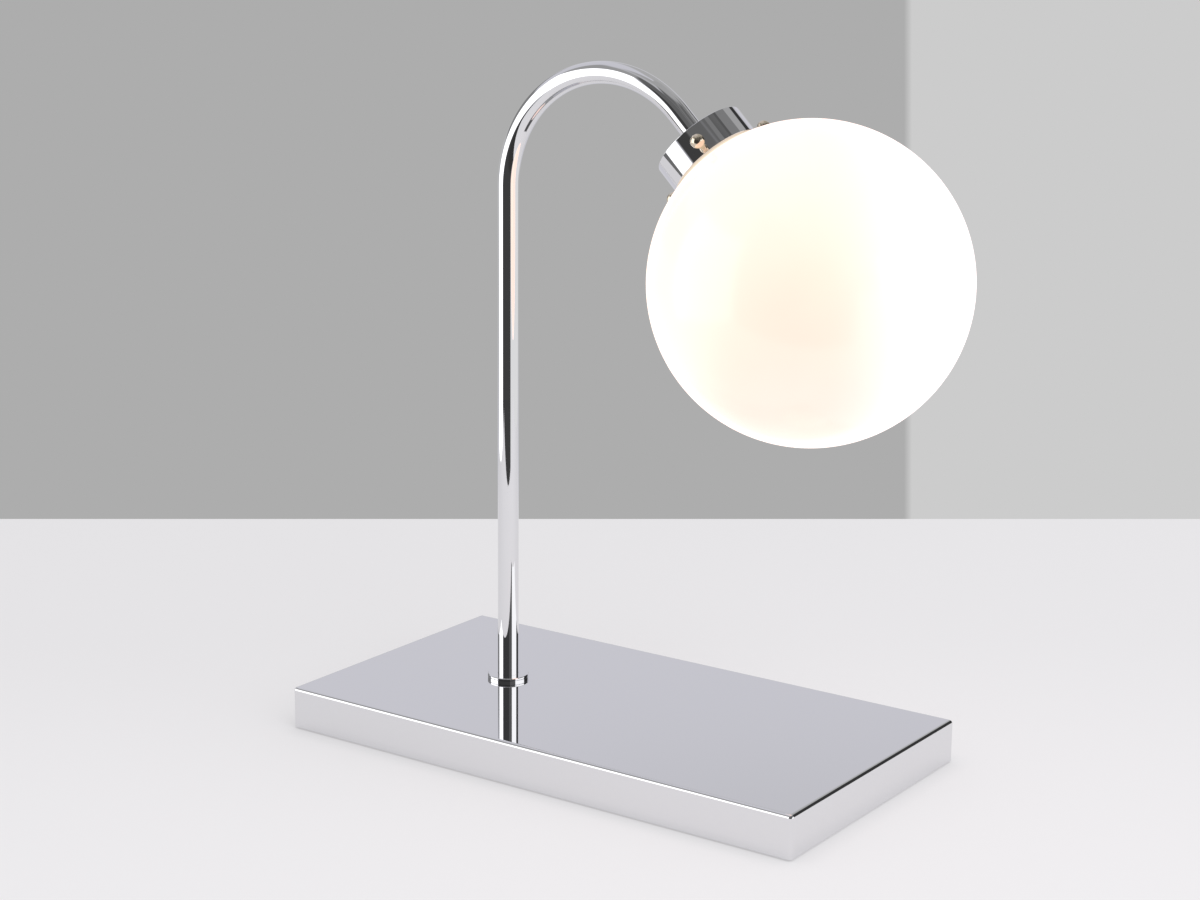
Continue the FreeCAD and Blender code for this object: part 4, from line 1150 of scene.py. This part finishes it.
@dataclass
class Surroundings:
    """The walls behind the lamp, the plain light and the room that polished metal shows."""

    camera_azimuth: float = CAMERA_AZIMUTH
    wall: str = "ADADAD"
    light_wall: str = "CCCCCC"
    # Points away from the light wall, square to the line where the two walls meet.
    light_wall_side: tuple[float, float, float] = (-0.88339, -0.46710, -0.03788)
    wall_line_blur: float = 0.0016
    upper_walls: Colour = (0.675, 0.672, 0.722, 1.0)
    plain_light: Colour = (0.72, 0.72, 0.72, 1.0)

    def mask(self, tree: Tree, angle: Socket, span: tuple[float, float], blur: float) -> Socket:
        """Pick out a span of an angle, with soft ends.

        Args:
            tree: The world's node tree.
            angle: The angle's socket, in degrees.
            span: Its lowest and highest value.
            blur: Width of each soft end, in degrees.

        Returns:
            A socket that is 1 inside the span and 0 outside.
        """
        middle, half = (span[0] + span[1]) / 2, (span[1] - span[0]) / 2
        offset = add_node(tree, "ShaderNodeMath", {0: angle, 1: middle}, operation="SUBTRACT")
        inputs = {0: offset.outputs[0], 1: 180.0, 2: -180.0}
        offset = add_node(tree, "ShaderNodeMath", inputs, operation="WRAP")
        size = add_node(tree, "ShaderNodeMath", {0: offset.outputs[0]}, operation="ABSOLUTE")
        inputs = {
            "Value": size.outputs[0],
            "From Min": half - blur / 2,
            "From Max": half + blur / 2,
            "To Min": 1.0,
            "To Max": 0.0,
        }
        soft = add_node(tree, "ShaderNodeMapRange", inputs, interpolation_type="SMOOTHSTEP")
        return soft.outputs["Result"]

    def room(self, tree: Tree, direction: Socket) -> Socket:
        """Work out what polished metal sees in a direction.

        Args:
            tree: The world's node tree.
            direction: The direction's socket.

        Returns:
            The colour's socket.
        """
        turn = (0.0, 0.0, -math.radians(self.camera_azimuth))
        turned = add_node(tree, "ShaderNodeMapping", {"Vector": direction, "Rotation": turn})
        parts = add_node(tree, "ShaderNodeSeparateXYZ", {0: turned.outputs[0]}).outputs
        forwards = add_node(tree, "ShaderNodeMath", {0: parts["Y"], 1: -1.0}, operation="MULTIPLY")
        inputs = {0: parts["X"], 1: forwards.outputs[0]}
        radians = add_node(tree, "ShaderNodeMath", inputs, operation="ARCTAN2")
        azimuth = add_node(tree, "ShaderNodeMath", {0: radians.outputs[0]}, operation="DEGREES")
        radians = add_node(tree, "ShaderNodeMath", {0: parts["Z"]}, operation="ARCSINE")
        elevation = add_node(tree, "ShaderNodeMath", {0: radians.outputs[0]}, operation="DEGREES")
        seen: Colour | Socket = self.upper_walls
        for panel in ROOM:
            across = self.mask(tree, azimuth.outputs[0], panel.azimuth, panel.blur)
            upwards = self.mask(tree, elevation.outputs[0], panel.elevation, panel.blur)
            inputs = {0: across, 1: upwards}
            inside = add_node(tree, "ShaderNodeMath", inputs, operation="MULTIPLY").outputs[0]
            tone = (panel.tone, panel.tone, panel.tone, 1.0)
            inputs = {FACTOR: inside, FIRST: seen, SECOND: tone}
            front = add_node(tree, "ShaderNodeMix", inputs, data_type="RGBA", label=panel.label)
            seen = front.outputs[BLEND]
        return seen

    def backdrop(self, tree: Tree, direction: Socket) -> Socket:
        """Work out the two walls that the camera sees.

        Args:
            tree: The world's node tree.
            direction: The direction's socket.

        Returns:
            The colour's socket.
        """
        inputs = {0: direction, 1: self.light_wall_side}
        side = add_node(tree, "ShaderNodeVectorMath", inputs, operation="DOT_PRODUCT")
        inputs = {
            "Value": side.outputs["Value"],
            "From Min": -self.wall_line_blur,
            "From Max": self.wall_line_blur,
            "To Min": 1.0,
            "To Max": 0.0,
        }
        lighter = add_node(tree, "ShaderNodeMapRange", inputs).outputs["Result"]
        inputs = {FACTOR: lighter, FIRST: linear(self.wall), SECOND: linear(self.light_wall)}
        return add_node(tree, "ShaderNodeMix", inputs, data_type="RGBA").outputs[BLEND]

    def build(self) -> None:
        """Light the lamp evenly, and show polished metal the walls, the windows and the dark."""
        world = bpy.data.worlds.new("studio")
        bpy.context.scene.world = world
        world.use_nodes = True
        tree = world.node_tree
        tree.nodes.clear()
        direction = add_node(tree, "ShaderNodeTexCoord").outputs["Generated"]
        rays = add_node(tree, "ShaderNodeLightPath").outputs
        inputs = {0: rays["Is Glossy Ray"], 1: rays["Is Transmission Ray"]}
        mirrored = add_node(tree, "ShaderNodeMath", inputs, operation="ADD", use_clamp=True)
        # Metal that lights a matt surface gets the plain light, so that no streak falls on it.
        inputs = {0: rays["Diffuse Depth"], 1: 0.5}
        direct = add_node(tree, "ShaderNodeMath", inputs, operation="LESS_THAN")
        inputs = {0: mirrored.outputs[0], 1: direct.outputs[0]}
        to_metal = add_node(tree, "ShaderNodeMath", inputs, operation="MULTIPLY").outputs[0]
        walls = self.backdrop(tree, direction)
        inputs = {FACTOR: rays["Is Camera Ray"], FIRST: self.plain_light, SECOND: walls}
        plain = add_node(tree, "ShaderNodeMix", inputs, data_type="RGBA").outputs[BLEND]
        inputs = {FACTOR: to_metal, FIRST: plain, SECOND: self.room(tree, direction)}
        colour = add_node(tree, "ShaderNodeMix", inputs, data_type="RGBA").outputs[BLEND]
        light = add_node(tree, "ShaderNodeBackground", {"Color": colour})
        add_node(tree, "ShaderNodeOutputWorld", {"Surface": light.outputs[0]})


@dataclass
class SideLamp:
    """One large soft lamp, up and to the right of the camera, that aims at the object."""

    size: float = 2.6
    watts: float = 34.0
    azimuth: float = CAMERA_AZIMUTH + 45.0
    elevation: float = 40.0
    reach: float = 3.0

    def build(self) -> None:
        """Hang the lamp. Polished metal doesn't show it."""
        data = bpy.data.lights.new("side_lamp", "AREA")
        data.size = self.size
        data.energy = self.watts
        lamp = bpy.data.objects.new("side_lamp", data)
        bpy.context.scene.collection.objects.link(lamp)
        a, e = math.radians(self.azimuth), math.radians(self.elevation)
        away = Vector((math.sin(a) * math.cos(e), -math.cos(a) * math.cos(e), math.sin(e)))
        facing = (-away).to_track_quat("-Z", "Y").to_matrix().to_4x4()
        lamp.matrix_world = Matrix.Translation(away * self.reach) @ facing
        lamp.visible_glossy = False


def main() -> None:
    """Build the camera, the studio and the lamp."""
    logging.basicConfig(level=logging.INFO, format="%(message)s")
    bpy.context.scene.view_settings.view_transform = "Standard"
    PhotoCamera().build()
    TableTop().build()
    Surroundings().build()
    SideLamp().build()
    PressedBase().build()
    arm = BentArm()
    arm.build()
    gallery = Gallery(arm.gallery_place())
    gallery.build()
    BlownGlobe(gallery.place, gallery.cup_radius, gallery.cup_depth).build()
    shown = {name for name, node in frame["nodes"].items() if not node.hide_render}
    dress_nodes(shown)


if __name__ == "__main__":
    main()
